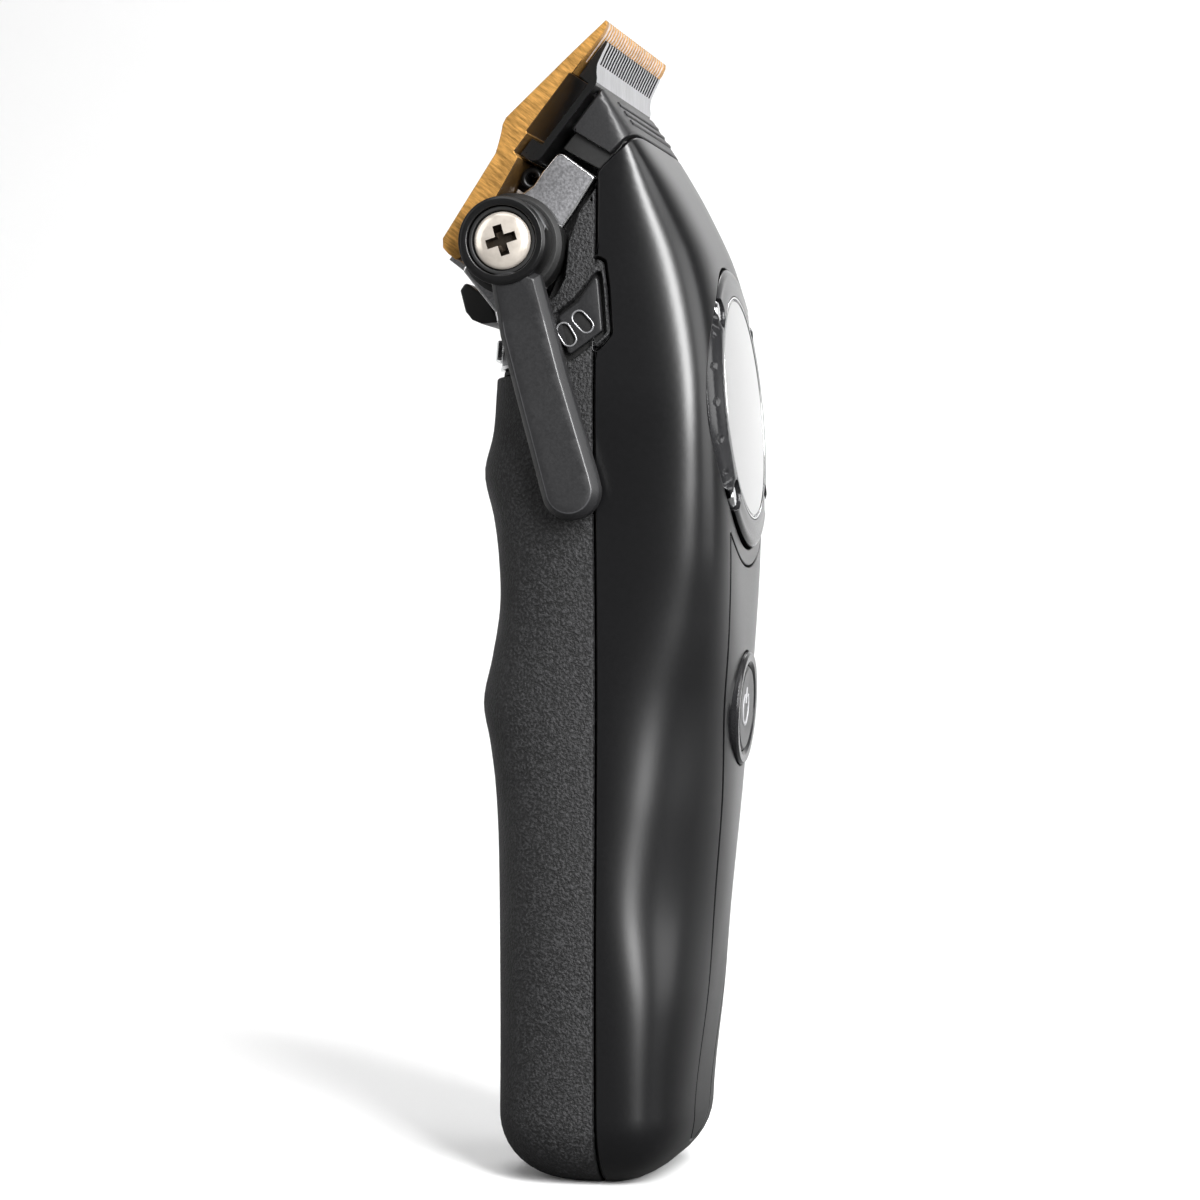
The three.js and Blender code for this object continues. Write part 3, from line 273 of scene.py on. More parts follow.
def s_from_front(y, z):
    """Surface position of a point given in the front view."""
    _, half, power, _ = ring(z, True)
    share = min(abs(y) / half, 1)
    corner = 0.5 ** (1 / power)
    q = share / (2 * corner) if share <= corner else 1 - (1 - share ** power) ** (1 / power) / (2 * corner)
    return math.copysign(float(np.interp(q, Q, arcs(z, True))), y)


def on_blade(u, n):
    """X, Z of a point given along the blade (u, towards its tips) and into the head (n)."""
    c, s = math.cos(BLADE_TILT), math.sin(BLADE_TILT)
    return BLADE_TIP[0] + u * s + n * c, BLADE_TIP[1] + u * c - n * s


# ---------------------------------------------------------------- outlines


def dense(points, step, closed=True):
    """The same outline with points no further apart than a step."""
    result = []
    count = len(points)
    for i in range(count if closed else count - 1):
        a, b = Vector(points[i]), Vector(points[(i + 1) % count])
        parts = max(1, math.ceil((b - a).length / step))
        result += [tuple(a.lerp(b, k / parts)) for k in range(parts)]
    return result if closed else result + [tuple(points[-1])]


def softened(points, radius, steps=5):
    """The outline with its corners rounded; radius is one value or one for each corner."""
    result = []
    count = len(points)
    for i in range(count):
        a, p, b = (Vector(points[(i + k) % count]) for k in (-1, 0, 1))
        r = radius[i] if isinstance(radius, (list, tuple)) else radius
        come, go = (a - p), (b - p)
        angle = come.angle(go)
        if r <= 0 or angle > math.pi - 0.02:
            result.append(tuple(p))
            continue
        reach = min(r / math.tan(angle / 2), 0.48 * come.length, 0.48 * go.length)
        start, end = p + come.normalized() * reach, p + go.normalized() * reach
        for k in range(steps + 1):
            t = k / steps
            result.append(tuple(start * (1 - t) ** 2 + p * 2 * t * (1 - t) + end * t * t))
    return result


def circle(radius, centre=(0, 0), count=72, start=0.0):
    return [(centre[0] + radius * math.cos(start + 2 * math.pi * k / count),
             centre[1] + radius * math.sin(start + 2 * math.pi * k / count)) for k in range(count)]


def arc(centre, radius, start, end, count):
    """Points of an arc, angles in degrees."""
    return [(centre[0] + radius * math.cos(math.radians(start + (end - start) * k / count)),
             centre[1] + radius * math.sin(math.radians(start + (end - start) * k / count)))
            for k in range(count + 1)]


def area(points):
    p = np.array(points)
    q = np.roll(p, -1, 0)
    return float((p[:, 0] * q[:, 1] - q[:, 0] * p[:, 1]).sum() / 2)


def inward(points, distance):
    """The outline moved to its left by a distance."""
    p = np.array(points, float)
    come = p - np.roll(p, 1, 0)
    go = np.roll(p, -1, 0) - p
    come /= np.maximum(np.hypot(*come.T), 1e-9)[:, None]
    go /= np.maximum(np.hypot(*go.T), 1e-9)[:, None]
    left = np.stack([-(come + go)[:, 1], (come + go)[:, 0]], 1)
    left /= np.maximum(np.hypot(*left.T), 1e-9)[:, None]
    square = np.stack([-come[:, 1], come[:, 0]], 1)
    stretch = distance / np.maximum((left * square).sum(1), 0.6)
    return p + left * stretch[:, None], left


def inside(points, loops):
    """Which points fall inside an odd number of the loops."""
    found = np.zeros(len(points), bool)
    x, y = points[:, 0], points[:, 1]
    for loop in loops:
        p = np.array(loop)
        for (x0, y0), (x1, y1) in zip(p, np.roll(p, -1, 0)):
            crossing = (y0 > y) != (y1 > y)
            found ^= crossing & (x < x0 + (y - y0) * (x1 - x0) / ((y1 - y0) or 1e-12))
    return found


# ---------------------------------------------------------------- mesh builders


def rounded_edge(radius, steps=4):
    """(inset, depth) pairs of a quarter round, from the wall to the face."""
    return [(radius * (1 - math.cos(math.pi / 2 * k / steps)),
             radius * (1 - math.sin(math.pi / 2 * k / steps)))
            for k in range(steps + 1)]


def new_object(name, vertices, faces, smooth_angle=None, normals=None, scale=MM):
    mesh = bpy.data.meshes.new(name)
    mesh.from_pydata([tuple(Vector(v) * scale) for v in vertices], [], faces)
    mesh.validate()
    mesh.polygons.foreach_set("use_smooth", [True] * len(mesh.polygons))
    if normals is not None:
        mesh.normals_split_custom_set_from_vertices([tuple(n) for n in normals])
    elif smooth_angle:
        mesh.set_sharp_from_angle(angle=math.radians(smooth_angle))
    mesh.update()
    obj = bpy.data.objects.new(name, mesh)
    bpy.context.scene.collection.objects.link(obj)
    return obj


def triangulate(rings, extra, loops):
    """Triangles between closed rings of indexed points, with extra points in the middle."""
    points, edges, index = [], [], []
    for ring_points, ids in rings:
        base = len(points)
        count = len(ring_points)
        points += [Vector(p) for p in ring_points]
        index += ids
        edges += [(base + k, base + (k + 1) % count) for k in range(count)]
    for p, i in extra:
        points.append(Vector(p))
        index.append(i)
    found = delaunay_2d_cdt(points, edges, [], 0, 1e-6)
    corners = np.array([tuple(v) for v in found[0]])
    origin = [index[sources[0]] if sources else None for sources in found[3]]
    triangles = [f for f in found[2] if all(origin[i] is not None for i in f)]
    middles = np.array([corners[list(f)].mean(0) for f in triangles])
    keep = inside(middles, loops)
    return [tuple(origin[i] for i in f) for f, wanted in zip(triangles, keep) if wanted]


def panel(name, loops, place, thickness, edge, back_edge=None, grid=None, smooth_angle=None, depth=0.0):
    """A plate with outlines given on a surface; place(a, b, depth) gives position and normal.

    The first loop is the outside and the rest are holes. edge is a list of (inset, depth) pairs.
    """
    outlines = []
    for i, loop in enumerate(loops):
        wanted = 1 if i == 0 else -1
        outlines.append(list(loop) if area(loop) * wanted > 0 else list(reversed(loop)))
    vertices, normals, faces = [], [], []

    def vertex(a, b, below, tip=0.0, left=None):
        spot, normal = place(a, b, depth + below)
        vertices.append(spot)
        if left is not None and tip > 0:
            ahead, _ = place(a + left[0] * 0.05, b + left[1] * 0.05, depth + below)
            outward = (spot - ahead).normalized()
            normal = (normal * math.cos(tip) + outward * math.sin(tip)).normalized()
        normals.append(normal)
        return len(vertices) - 1

    def rim(outline, profile, total, flip):
        rows = []
        _, left = inward(outline, 0)
        widest = max(inset for inset, _ in profile) or 1
        for inset, below in profile:
            moved, _ = inward(outline, inset)
            tip = math.acos(min(inset / widest, 1)) if widest > 1e-6 else math.pi / 2
            level = total - below if flip else below
            rows.append([vertex(a, b, level, tip, d) for (a, b), d in zip(moved, left)])
            last = moved
        return rows, last

    def bridge(lower, upper):
        count = len(lower)
        for k in range(count):
            n = (k + 1) % count
            faces.append((lower[k], lower[n], upper[n], upper[k]))

    fronts, backs = [], []
    for outline in outlines:
        rows, top = rim(outline, edge, thickness, False)
        for lower, upper in zip(rows, rows[1:]):
            bridge(lower, upper)
        lows, low = rim(outline, back_edge or [(0.0, 0.0)], thickness, True)
        for lower, upper in zip(lows, lows[1:]):
            bridge(upper, lower)
        bridge(lows[0], rows[0])
        fronts.append(([tuple(p) for p in top], rows[-1]))
        backs.append(([tuple(p) for p in low], lows[-1]))
    extra_front, extra_back = [], []
    if grid:
        p = np.array(outlines[0])
        low, high = p.min(0), p.max(0)
        across = np.arange(low[0] + grid / 2, high[0], grid)
        up = np.arange(low[1] + grid / 2, high[1], grid)
        mesh_points = np.array([(a + (grid / 2 if k % 2 else 0), b) for k,
                                b in enumerate(up) for a in across]).reshape(-1, 2)
        keep = inside(mesh_points, outlines)
        borders = np.concatenate([np.array(dense(top, grid / 2)) for top, _ in fronts])
        for a, b in mesh_points[keep]:
            if np.hypot(borders[:, 0] - a, borders[:, 1] - b).min() < grid * 0.55:
                continue
            extra_front.append(((a, b), vertex(a, b, 0)))
            extra_back.append(((a, b), vertex(a, b, thickness)))
    faces += triangulate(fronts, extra_front, [top for top, _ in fronts])
    faces += [tuple(reversed(f)) for f in triangulate(backs, extra_back, [low for low, _ in backs])]
    if surface_sign(place, outlines[0][0]) < 0:
        faces = [tuple(reversed(f)) for f in faces]
    if smooth_angle:
        return new_object(name, vertices, faces, smooth_angle)
    return new_object(name, vertices, faces, normals=normals)


def surface_sign(place, spot):
    """+1 if turning from a to b is anticlockwise as seen from outside, otherwise -1."""
    a, b = spot
    here, normal = place(a, b, 0)
    right = place(a + 0.1, b, 0)[0] - here
    up = place(a, b + 0.1, 0)[0] - here
    return 1 if right.cross(up).dot(normal) > 0 else -1


def flat(origin, right, up):
    """A plane for panel(): right x up points outwards."""
    origin, right, up = Vector(origin), Vector(right).normalized(), Vector(up).normalized()
    normal = right.cross(up)
    return lambda a, b, depth: (origin + right * a + up * b - normal * depth, normal)


def lever_side(y):
    """Plane facing the lever side at a Y, with outlines in X and Z."""
    return flat((0, y, 0), (1, 0, 0), (0, 0, 1))


def turned(name, profile, origin=(0, 0, 0), axis=(0, 0, 1), facets=None, smooth_angle=35):
    """A turned piece: (radius, height) pairs revolved round an axis; height runs along it."""
    facets = facets or sizes().turn_facets
    up = Vector(axis).normalized()
    right = up.orthogonal().normalized()
    ahead = up.cross(right)
    vertices, rows, faces = [], [], []
    for radius, height in profile:
        if radius < 1e-6:
            vertices.append(Vector(origin) + up * height)
            rows.append([len(vertices) - 1] * facets)
            continue
        start = len(vertices)
        for k in range(facets):
            a = 2 * math.pi * k / facets
            spoke = right * math.cos(a) + ahead * math.sin(a)
            vertices.append(Vector(origin) + up * height + spoke * radius)
        rows.append(list(range(start, start + facets)))
    pairs = list(zip(rows, rows[1:]))
    if profile[0][0] > 1e-6:
        pairs.append((rows[-1], rows[0]))
    for lower, upper in pairs:
        for k in range(facets):
            n = (k + 1) % facets
            quad = [lower[k], lower[n], upper[n], upper[k]]
            face = [i for j, i in enumerate(quad) if i != quad[j - 1]]
            if len(face) > 2:
                faces.append(tuple(face))
    if area(profile) > 0:
        faces = [tuple(reversed(f)) for f in faces]
    return new_object(name, vertices, faces, smooth_angle)


def worn_profile(points, radius, steps=3):
    """A turned profile with small rounds on its corners; the ends stay as they are."""
    return softened(points, [0 if p[0] < 1e-6 else radius for p in points], steps)


def bevelled(obj, width, segments=2, angle=32):
    """Rounds the sharp edges of a piece."""
    bm = bmesh.new()
    bm.from_mesh(obj.data)
    bmesh.ops.remove_doubles(bm, verts=bm.verts, dist=1e-6)
    bmesh.ops.dissolve_limit(bm, angle_limit=math.radians(0.5), verts=bm.verts, edges=bm.edges)
    sharp = [e for e in bm.edges if e.is_manifold and e.calc_face_angle(0) > math.radians(angle)]
    bmesh.ops.bevel(bm, geom=sharp, offset=width * MM, segments=segments, affect="EDGES", clamp_overlap=True,
                    profile=0.6)
    for face in bm.faces:
        face.smooth = True
    bm.to_mesh(obj.data)
    bm.free()
    obj.data.set_sharp_from_angle(angle=math.radians(40))
    return obj


def shaped_like(node, name, width, segments=2):
    """A copy of a frame node with its edges rounded."""
    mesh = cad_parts[node].data.copy()
    mesh.materials.clear()
    obj = bpy.data.objects.new(name, mesh)
    bpy.context.scene.collection.objects.link(obj)
    return bevelled(obj, width, segments)


def cut_out(obj, *cutters):
    """Cuts other solids out of a piece and removes them."""
    for cutter in cutters:
        modifier = obj.modifiers.new("cut", "BOOLEAN")
        modifier.operation = "DIFFERENCE"
        modifier.solver = "EXACT"
        modifier.object = cutter
    bpy.context.view_layer.update()
    result = bpy.data.meshes.new_from_object(obj.evaluated_get(bpy.context.evaluated_depsgraph_get()))
    obj.modifiers.clear()
    old = obj.data
    name = old.name
    obj.data = result
    bpy.data.meshes.remove(old)
    result.name = name
    for cutter in cutters:
        bpy.data.objects.remove(cutter)
    result.polygons.foreach_set("use_smooth", [True] * len(result.polygons))
    result.set_sharp_from_angle(angle=math.radians(35))
    return obj


def finished(obj, body_name, material, *nodes):
    """Gives a piece its finish, makes it ride on a body and stand for its frame nodes."""
    if material is not None:
        obj.data.materials.clear()
        obj.data.materials.append(material)
    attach(obj, body_name)
    if nodes:
        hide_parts(*nodes)
    return obj


# ---------------------------------------------------------------- shells


def front_surface(a, b, depth):
    return body(a, b, depth, True)


def back_surface(a, b, depth):
    return body(a, b, depth, False)


LOW_V = RIM_V - FLAT_V + 1.5


def seam_line(side, low, high, front, gap, step=1.5):
    """Points up the seam from low to high, a gap short of it."""
    count = max(2, round(abs(high - low) / step))
    points = []
    for k in range(count + 1):
        v = low + (high - low) * k / count
        points.append((side * (arcs(v, front)[-1] - gap), v))
    return points


def shell_top_v(s, margin=0.0):
    """Height of the slanting top edge of the front shell at s."""
    (xa, za), (xb, zb) = SHELL_TOP
    slope = (zb - za) / (xb - xa)
    v = za
    for _ in range(12):
        x = body(s, v, 0, True)[0].x
        v = za + slope * (x - xa) + margin * math.hypot(1, slope)
    return v


def ring_on_front(centre, tilt, radius, count=90):
    """Outline on the front surface of a round hole whose axis is tilted up."""
    x0, z0 = centre
    c, s = math.cos(math.radians(tilt)), math.sin(math.radians(tilt))
    points = []
    for k in range(count):
        angle = 2 * math.pi * k / count
        y, e = radius * math.cos(angle), radius * math.sin(angle)
        z = z0 + e * c
        for _ in range(6):
            position = s_from_front(y, z)
            x = body(position, z, 0, True)[0].x
            z = z0 + (e + (x - x0) * s) / c
        points.append((s_from_front(y, z), z))
    return points


def panel_outline(margin):
    """Front view outline (y, z) of the front panel, grown by a margin."""
    toe = PANEL_SIDE[0][0] + margin
    toe_z = PANEL_TOE - margin + toe
    right = [(along([(z, y) for y, z in PANEL_SIDE], z) + margin, z) for z in np.linspace(toe_z + 1.5, 86.5,
                                                                                          36)]
    top_y = PANEL_SIDE[-1][0] + margin
    reach = PANEL_RING - margin
    spread = math.degrees(math.asin(top_y / reach))
    upper = arc((0, DISPLAY["centre"][1]), reach, -90 + spread, -90 - spread, 40)
    left = [(-y, z) for y, z in reversed(right)]
    bottom = arc((0, toe_z), toe, 180, 360, 28)
    outline = right + upper + left + bottom
    return softened(outline, [1.2 if p in (upper[0], upper[-1]) else 0 for p in outline])


def on_front(outline, step=1.0):
    return [(s_from_front(y, z), z) for y, z in dense(outline, step)]


def build_front_shell(m):
    gap = sizes().seam / MM / 2
    edge = sizes().rounding / MM
    lowest = LOW_V
    left = seam_line(-1, 112.6, lowest, True, gap)
    tongue = [(s_from_side(x, z, -1), z) for x, z in dense(softened(TONGUE, 0.9), 0.8, closed=False)]
    left_top = seam_line(-1, shell_top_v(-arcs(138, True)[-1]), 126.9, True, gap)
    right = seam_line(1, lowest, shell_top_v(arcs(138, True)[-1]), True, gap)
    top = [(s, shell_top_v(s)) for s in np.linspace(right[-1][0] - 0.9, left_top[0][0] + 0.9, 70)]
    outline = right + top + left_top[:-1] + list(reversed(tongue)) + left[:-1]
    holes = [
        ring_on_front(DISPLAY["centre"], DISPLAY["tilt"], DISPLAY["outer"] + 0.12),
        on_front(panel_outline(0.14)),
    ]
    shell = panel("front_shell_skin", [outline] + holes, front_surface, 2.0, rounded_edge(edge),
                  grid=sizes().facet / MM)
    finished(shell, "root", m["shell"], "front_shell")


def build_rear_cover(m):
    gap = sizes().seam / MM / 2
    edge = sizes().rounding / MM
    lowest = LOW_V
    tongue = [(s_from_side(x, z, -1, False), z)
              for x, z in dense(softened([(3.4, 113.4), (5.55, 116.1), (5.05, 122), (4.5, 125.8),
                                          (3.4, 126.2)], 0.8),
                                0.8, closed=False)]
    up_left = seam_line(-1, lowest, 113.1, False, gap)
    upper_left = seam_line(-1, 126.5, EAR_EDGE[0][1] - 0.6, False, gap)
    down = dense(EAR_EDGE + [(-5.2, COVER_TOP)], 1.0, closed=False)
    ear_left = [(s_from_side(x, z, -1, False), z) for x, z in down]
    ear_right = [(-s, z) for s, z in reversed(ear_left)]
    across = [(s, COVER_TOP) for s in np.linspace(ear_left[-1][0], ear_right[0][0], 40)][1:-1]
    down_right = seam_line(1, EAR_EDGE[0][1] - 0.6, lowest, False, gap)
    outline = up_left + tongue + upper_left + ear_left + across + ear_right + down_right
    plate_hole = [(s_from_side(x, z, -1, False), z)
                  for x, z in dense(softened(grown(DETENT_PLATE, 0.75), 0.9), 0.6)]
    recess = dense(softened([(-7.2, 6.9), (7.2, 6.9), (7.2, 11.2), (-7.2, 11.2)], 1.3), 0.8)
    cover = panel("rear_cover_skin", [outline, plate_hole, recess], back_surface, 2.0, rounded_edge(edge),
                  grid=sizes().facet / MM)
    floor = panel("contact_recess_floor",
                  [dense(softened([(-7.9, 6.2), (7.9, 6.2), (7.9, 11.9), (-7.9, 11.9)], 1.3), 1)],
                  back_surface, 0.6, rounded_edge(0.1), grid=2.0, depth=1.2)
    groove = panel("mark_groove_floor",
                   [[(s_from_side(x, z, -1, False), z)
                     for x, z in dense(softened(grown(DETENT_PLATE, 1.4), 0.9), 0.6)]],
                   back_surface, 0.6, rounded_edge(0.1), grid=1.6, depth=1.35)
    finished(cover, "root", m["cover"], "rear_cover")
    for piece in (floor, groove):
        finished(piece, "root", m["dark"], "rear_cover")


def grown(outline, margin):
    points = outline if area(outline) > 0 else list(reversed(outline))
    moved, _ = inward(points, -margin)
    return [tuple(p) for p in moved]


def build_front_panel(m):
    ring_hole = ring_on_front(BUTTON["centre"], BUTTON["tilt"], BUTTON["ring"] + 0.12, 72)
    piece = panel("front_panel_skin", [on_front(panel_outline(0)), ring_hole], front_surface, 1.0,
                  rounded_edge(0.22), grid=sizes().facet / MM)
    finished(piece, "root", m["panel"], "front_panel")


def build_detent_plate(m):
    def mark(angle, grow, count=10):
        half = (MARKS["length"] - MARKS["width"]) / 2
        r = MARKS["width"] / 2 + grow
        turn = math.radians(angle)
        cx, cz = PIVOT[0] + MARKS["radius"] * math.sin(turn), PIVOT[1] - MARKS["radius"] * math.cos(turn)
        local = arc((0, half), r, 0, 180, count) + arc((0, -half), r, 180, 360, count)
        c, s = math.cos(turn), math.sin(turn)
        return [(cx + x * c - z * s, cz + x * s + z * c) for x, z in local]

    face = lever_side(DETENT_Y)
    outline = dense(softened(DETENT_PLATE, 0.5), 0.8)
    plate = panel("detent_plate_top", [outline] + [mark(a, 0) for a in MARKS["angles"]], face, 0.9,
                  rounded_edge(0.22), smooth_angle=50)
    floors = [panel(f"mark_floor_{i}", [mark(a, 0.1)], face, 0.3, rounded_edge(0.05), smooth_angle=50,
                    depth=0.45)
              for i, a in enumerate(MARKS["angles"])]
    # Each mark gets a light metallic rim just proud of the plate: a painted highlight round the mark's edge.
    rims = []
    for i, a in enumerate(MARKS["angles"]):
        rims.append(panel(f"mark_rim_{i}", [mark(a, 0.24), mark(a, -0.02)], lever_side(DETENT_Y - 0.12), 0.3,
                          rounded_edge(0.12), smooth_angle=60))
    for piece, material in [(plate, m["trim"])] + [(f, m["dark"]) for f in floors] + [(r,
        m["lit_rim"]) for r in rims]:
        finished(piece, "root", material, "detent_plate")


def build_nose_cover(m):
    """Hood under the cutter: satin sides, a flatter front face with plain ribs, and a recessed dark foot."""
    lip = 4.55

    def top_v(s, margin=0.0):
        v = 144.0
        for _ in range(30):
            x = body(s, min(v, 149.9), 0, True)[0].x
            u = (x - BLADE_TIP[0] - (lip + margin) * math.cos(BLADE_TILT)) / math.sin(BLADE_TILT)
            target = on_blade(u, lip + margin)[1]
            v += (min(target, 149.8) - v) * 0.5
        return v

    rising = [(s_from_side(x, z, 1), z) for x, z in dense([(5.45, 140.35), (0.0, 143.75)], 0.8, closed=False)]
    rising.append((s_from_side(0.0, 143.8, 1), 143.8))
    start = rising[-1][0]
    top = [(s, min(top_v(s), 149.7)) for s in np.linspace(start - 0.4, -start + 0.4, 90)]
    foot_s = rising[0][0]
    bottom = [(s, shell_top_v(s, 0.35)) for s in np.linspace(-foot_s, foot_s, 80)]
    outline = rising + top + [(-s, v) for s, v in reversed(rising)] + bottom[1:-1]
    hood = panel("nose_hood", [outline], front_surface, 1.6, rounded_edge(0.3), grid=1.0)
    ribs = []
    for k in range(3):
        v = 144.9 + 1.25 * k
        width = 14.5
        line = dense(softened([(-width, v), (width, v), (width, v + 0.7), (-width, v + 0.7)], 0.3), 1.0)
        ribs.append(panel(f"nose_rib_{k}", [line], front_surface, 0.6, rounded_edge(0.25), depth=-0.25))
    feet = []
    for side, name in ((-1, "left"), (1, "right")):
        shape = [(4.1, 138.2), (5.9, 140.5), (0.6, 143.9), (-1.6, 141.4)]
        line = [(s_from_side(x, z, side), z) for x, z in dense(softened(shape, 0.3), 0.8)]
        feet.append(panel(f"nose_foot_{name}", [line], front_surface, 1.2, rounded_edge(0.2), grid=1.2,
                          depth=0.75))
    finished(hood, "root", m["trim"], "nose_cover")
    for piece in ribs:
        finished(piece, "root", m["trim"], "nose_cover")
    for piece in feet:
        finished(piece, "root", m["dark"], "nose_cover")


# ---------------------------------------------------------------- neck and head


def band(name, low, high, spread, depth, thick, edge=0.2):
    """Strip round the back of the body: spread is its half length."""
    line = dense(softened([(-spread, low), (spread, low), (spread, high), (-spread, high)], 0.4), 0.9)
    return panel(name, [line], back_surface, thick, rounded_edge(edge), grid=1.4, depth=depth)


def build_neck(m):
    reach = abs(s_from_side(-5.5, 113, 1, False))
    seal = band("neck_seal_band", COVER_TOP + 0.25, 111.6, reach, 0.9, 1.2)
    clip = band("neck_clip_band", 113.0, 115.7, 13.5, -0.45, 0.6, 0.18)
    tabs = [band("neck_clip_tab_0", 112.8, 115.9, 2.0, -0.6, 0.5, 0.15)]
    finished(seal, "root", m["rubber"], "neck_seal")
    finished(clip, "root", m["steel"], "neck_clip")
    for tab in tabs:
        finished(tab, "root", m["steel"], "neck_clip")


def heel_face(u):
    return 2.5 + (-26.8 - u) * 0.115


CHEEK = [
    (-1.75, 141.0), (3.3, 137.3), (0.45, 132.8), (-1.6, 130), (-2.2, 125), (-6, 119.4), (-6, 117.6),
    (-10.4, 117.6),
    (-10.7, 119.2), (-15.3, 125), on_blade(-37.2, heel_face(-37.2) + 0.5),
    on_blade(-26.6, heel_face(-26.6) + 0.7),
    (-7.2, 135.1), (-5.3, 136.4), (-4.1, 138.2),
]
CHEEK_ROUND = [1.1, 0.5, 0.4, 1, 0.8, 0.5, 0.4, 0.4, 0.5, 0.6, 0.3, 0.9, 1.4, 1.2, 1.6]


def blade_box(name, u_low, u_high, n_low, n_high, y_low, y_high, edge=0.2):
    """Plate lying along the blade."""
    line = softened([on_blade(u_low, n_low), on_blade(u_high, n_low), on_blade(u_high, n_high),
                     on_blade(u_low, n_high)],
                    0.15, 2)
    return panel(name, [line], lever_side(y_low), y_high - y_low, rounded_edge(edge), rounded_edge(edge),
                 smooth_angle=40)


def build_head_frame(m):
    bright = rounded_edge(0.35, 4)
    pieces = []
    outline = dense(softened(CHEEK, CHEEK_ROUND, 6), 0.9)
    for side, name in ((-1, "left"), (1, "right")):
        low = -19.7 if side < 0 else 17.4
        cheek = panel(f"cheek_{name}", [outline], lever_side(low), 2.3, bright, bright, smooth_angle=40)
        cheek.data.materials.append(m["zinc"])
        cheek.data.materials.append(m["polished"])
        for face in cheek.data.polygons:
            normal = face.normal
            if abs(normal.y) < 0.985:
                face.material_index = 1
        pieces.append(cheek)
    for cheek in pieces:
        finished(cheek, "root", None, "head_frame")
    # Dark plates just inside the cheeks close the gap between each cheek and the rear cover's ear: painted
    # shade.
    web = [(-4.6, 119.3), (3.0, 119.3), (3.0, 136.6), (-1.2, 131.6), (-2.0, 125.2)]
    for side, name in ((-1, "left"), (1, "right")):
        low = -16.9 if side < 0 else 16.1
        inner = panel(f"head_shade_plate_{name}", [softened(web, 0.4)], lever_side(low), 0.8, rounded_edge(0.1),
                      smooth_angle=40)
        finished(inner, "root", m["dark"], "head_frame")
    seat = blade_box("head_seat", -38, -25.5, 5.9, 7.6, -15, 15)
    wings = blade_box("head_wings", -38, -37, 5.9, 10.9, -18.2, 18.2)
    strut = panel("head_strut", [softened([(-10.9, 118.2), (-8.8, 118.2), (-11.6, 125.6), (-13.7, 124.2)],
                                          0.2)],
                  lever_side(-15), 30, rounded_edge(0.2), rounded_edge(0.2), smooth_angle=40)
    reach = abs(s_from_side(-5.5, 115, 1, False))
    collar = band("head_collar", 111.75, 119, reach, 0.5, 2.0, 0.3)
    collar_lip = band("head_collar_lip", 111.65, 112.3, reach, 0.35, 1.0, 0.15)
    deck = panel("head_deck", [dense(softened([(-10.2, -18.2), (12.4, -12), (12.4, 12), (-10.2, 18.2)], 4),
                                     1)],
                 flat((0, 0, 119), (1, 0, 0), (0, 1, 0)), 1.6, rounded_edge(0.2), smooth_angle=40)
    boss = turned("head_boss", worn_profile([(3.3, 17.4), (7, 17.4), (7, 21.3), (6.4, 21.9), (5.4, 21.9),
                                             (5.4, 21.5),
                                            (4.9, 21.5), (4.9, 21.9), (3.3, 21.9)], 0.12),
                  (PIVOT[0], 0, PIVOT[1]), (0, -1, 0))
    for piece, material in ((seat, m["zinc"]), (wings, m["zinc"]), (strut, m["zinc"]), (collar, m["zinc"]),
                            (collar_lip, m["polished"]), (deck, m["zinc"]), (boss, m["dark"])):
        finished(piece, "root", material, "head_frame")
    chin = shaped_like("chin_guard", "chin_guard_lip", 0.35, 3)
    finished(chin, "root", m["dark"], "chin_guard")


# ---------------------------------------------------------------- blades


def comb(name, stations, columns, tooth_from, taper=1.0):
    """Toothed plate.

    stations are (u, lower n, upper n) from heel to tip; columns are (low y, high y, is a slot).

    Slots are open from tooth_from to the tip, and the teeth narrow to taper of their width at the tip.
    """
    vertices, index = [], {}
    tip = stations[-1][0]

    def corner(i, j, top):
        u, low, high = stations[i]
        edge_y, centre = lines[j]
        share = max(0.0, (u - tooth_from) / (tip - tooth_from))
        y = centre + (edge_y - centre) * (1 - (1 - taper) * share) if centre is not None else edge_y
        key = (i, j, top)
        if key not in index:
            x, z = on_blade(u, high if top else low)
            index[key] = len(vertices)
            vertices.append((x, y, z))
        return index[key]

    lines = []
    for low, high, slot in columns:
        middle = None if slot else (low + high) / 2
        if not lines:
            lines.append((low, middle))
        lines.append((high, None))
    for j in range(len(columns)):
        low, high, slot = columns[j]
        if not slot:
            lines[j] = (low, (low + high) / 2)
            lines[j + 1] = (high, (low + high) / 2)
    cells = set()
    for i in range(len(stations) - 1):
        for j, (_, _, slot) in enumerate(columns):
            if not (slot and stations[i][0] >= tooth_from - 1e-6):
                cells.add((i, j))
    faces = []
    for i, j in sorted(cells):
        a, b, c, d = (i, j), (i, j + 1), (i + 1, j + 1), (i + 1, j)
        faces.append([corner(*p, True) for p in (a, b, c, d)])
        faces.append([corner(*p, False) for p in (d, c, b, a)])
        for (p, q), neighbour in (((b, c), (i, j + 1)), ((d, a), (i, j - 1)), ((c, d), (i + 1, j)),
                                  ((a, b), (i - 1, j))):
            if neighbour not in cells:
                faces.append([corner(*p, False), corner(*q, False), corner(*q, True), corner(*p, True)])
    return new_object(name, vertices, faces, 40)


def tooth_columns(half, pitch, slot, count):
    columns = []
    low = -half
    for k in range(count):
        y = (k - (count - 1) / 2) * pitch
        columns += [(low, y - slot / 2, False), (y - slot / 2, y + slot / 2, True)]
        low = y + slot / 2
    return columns + [(low, half, False)]


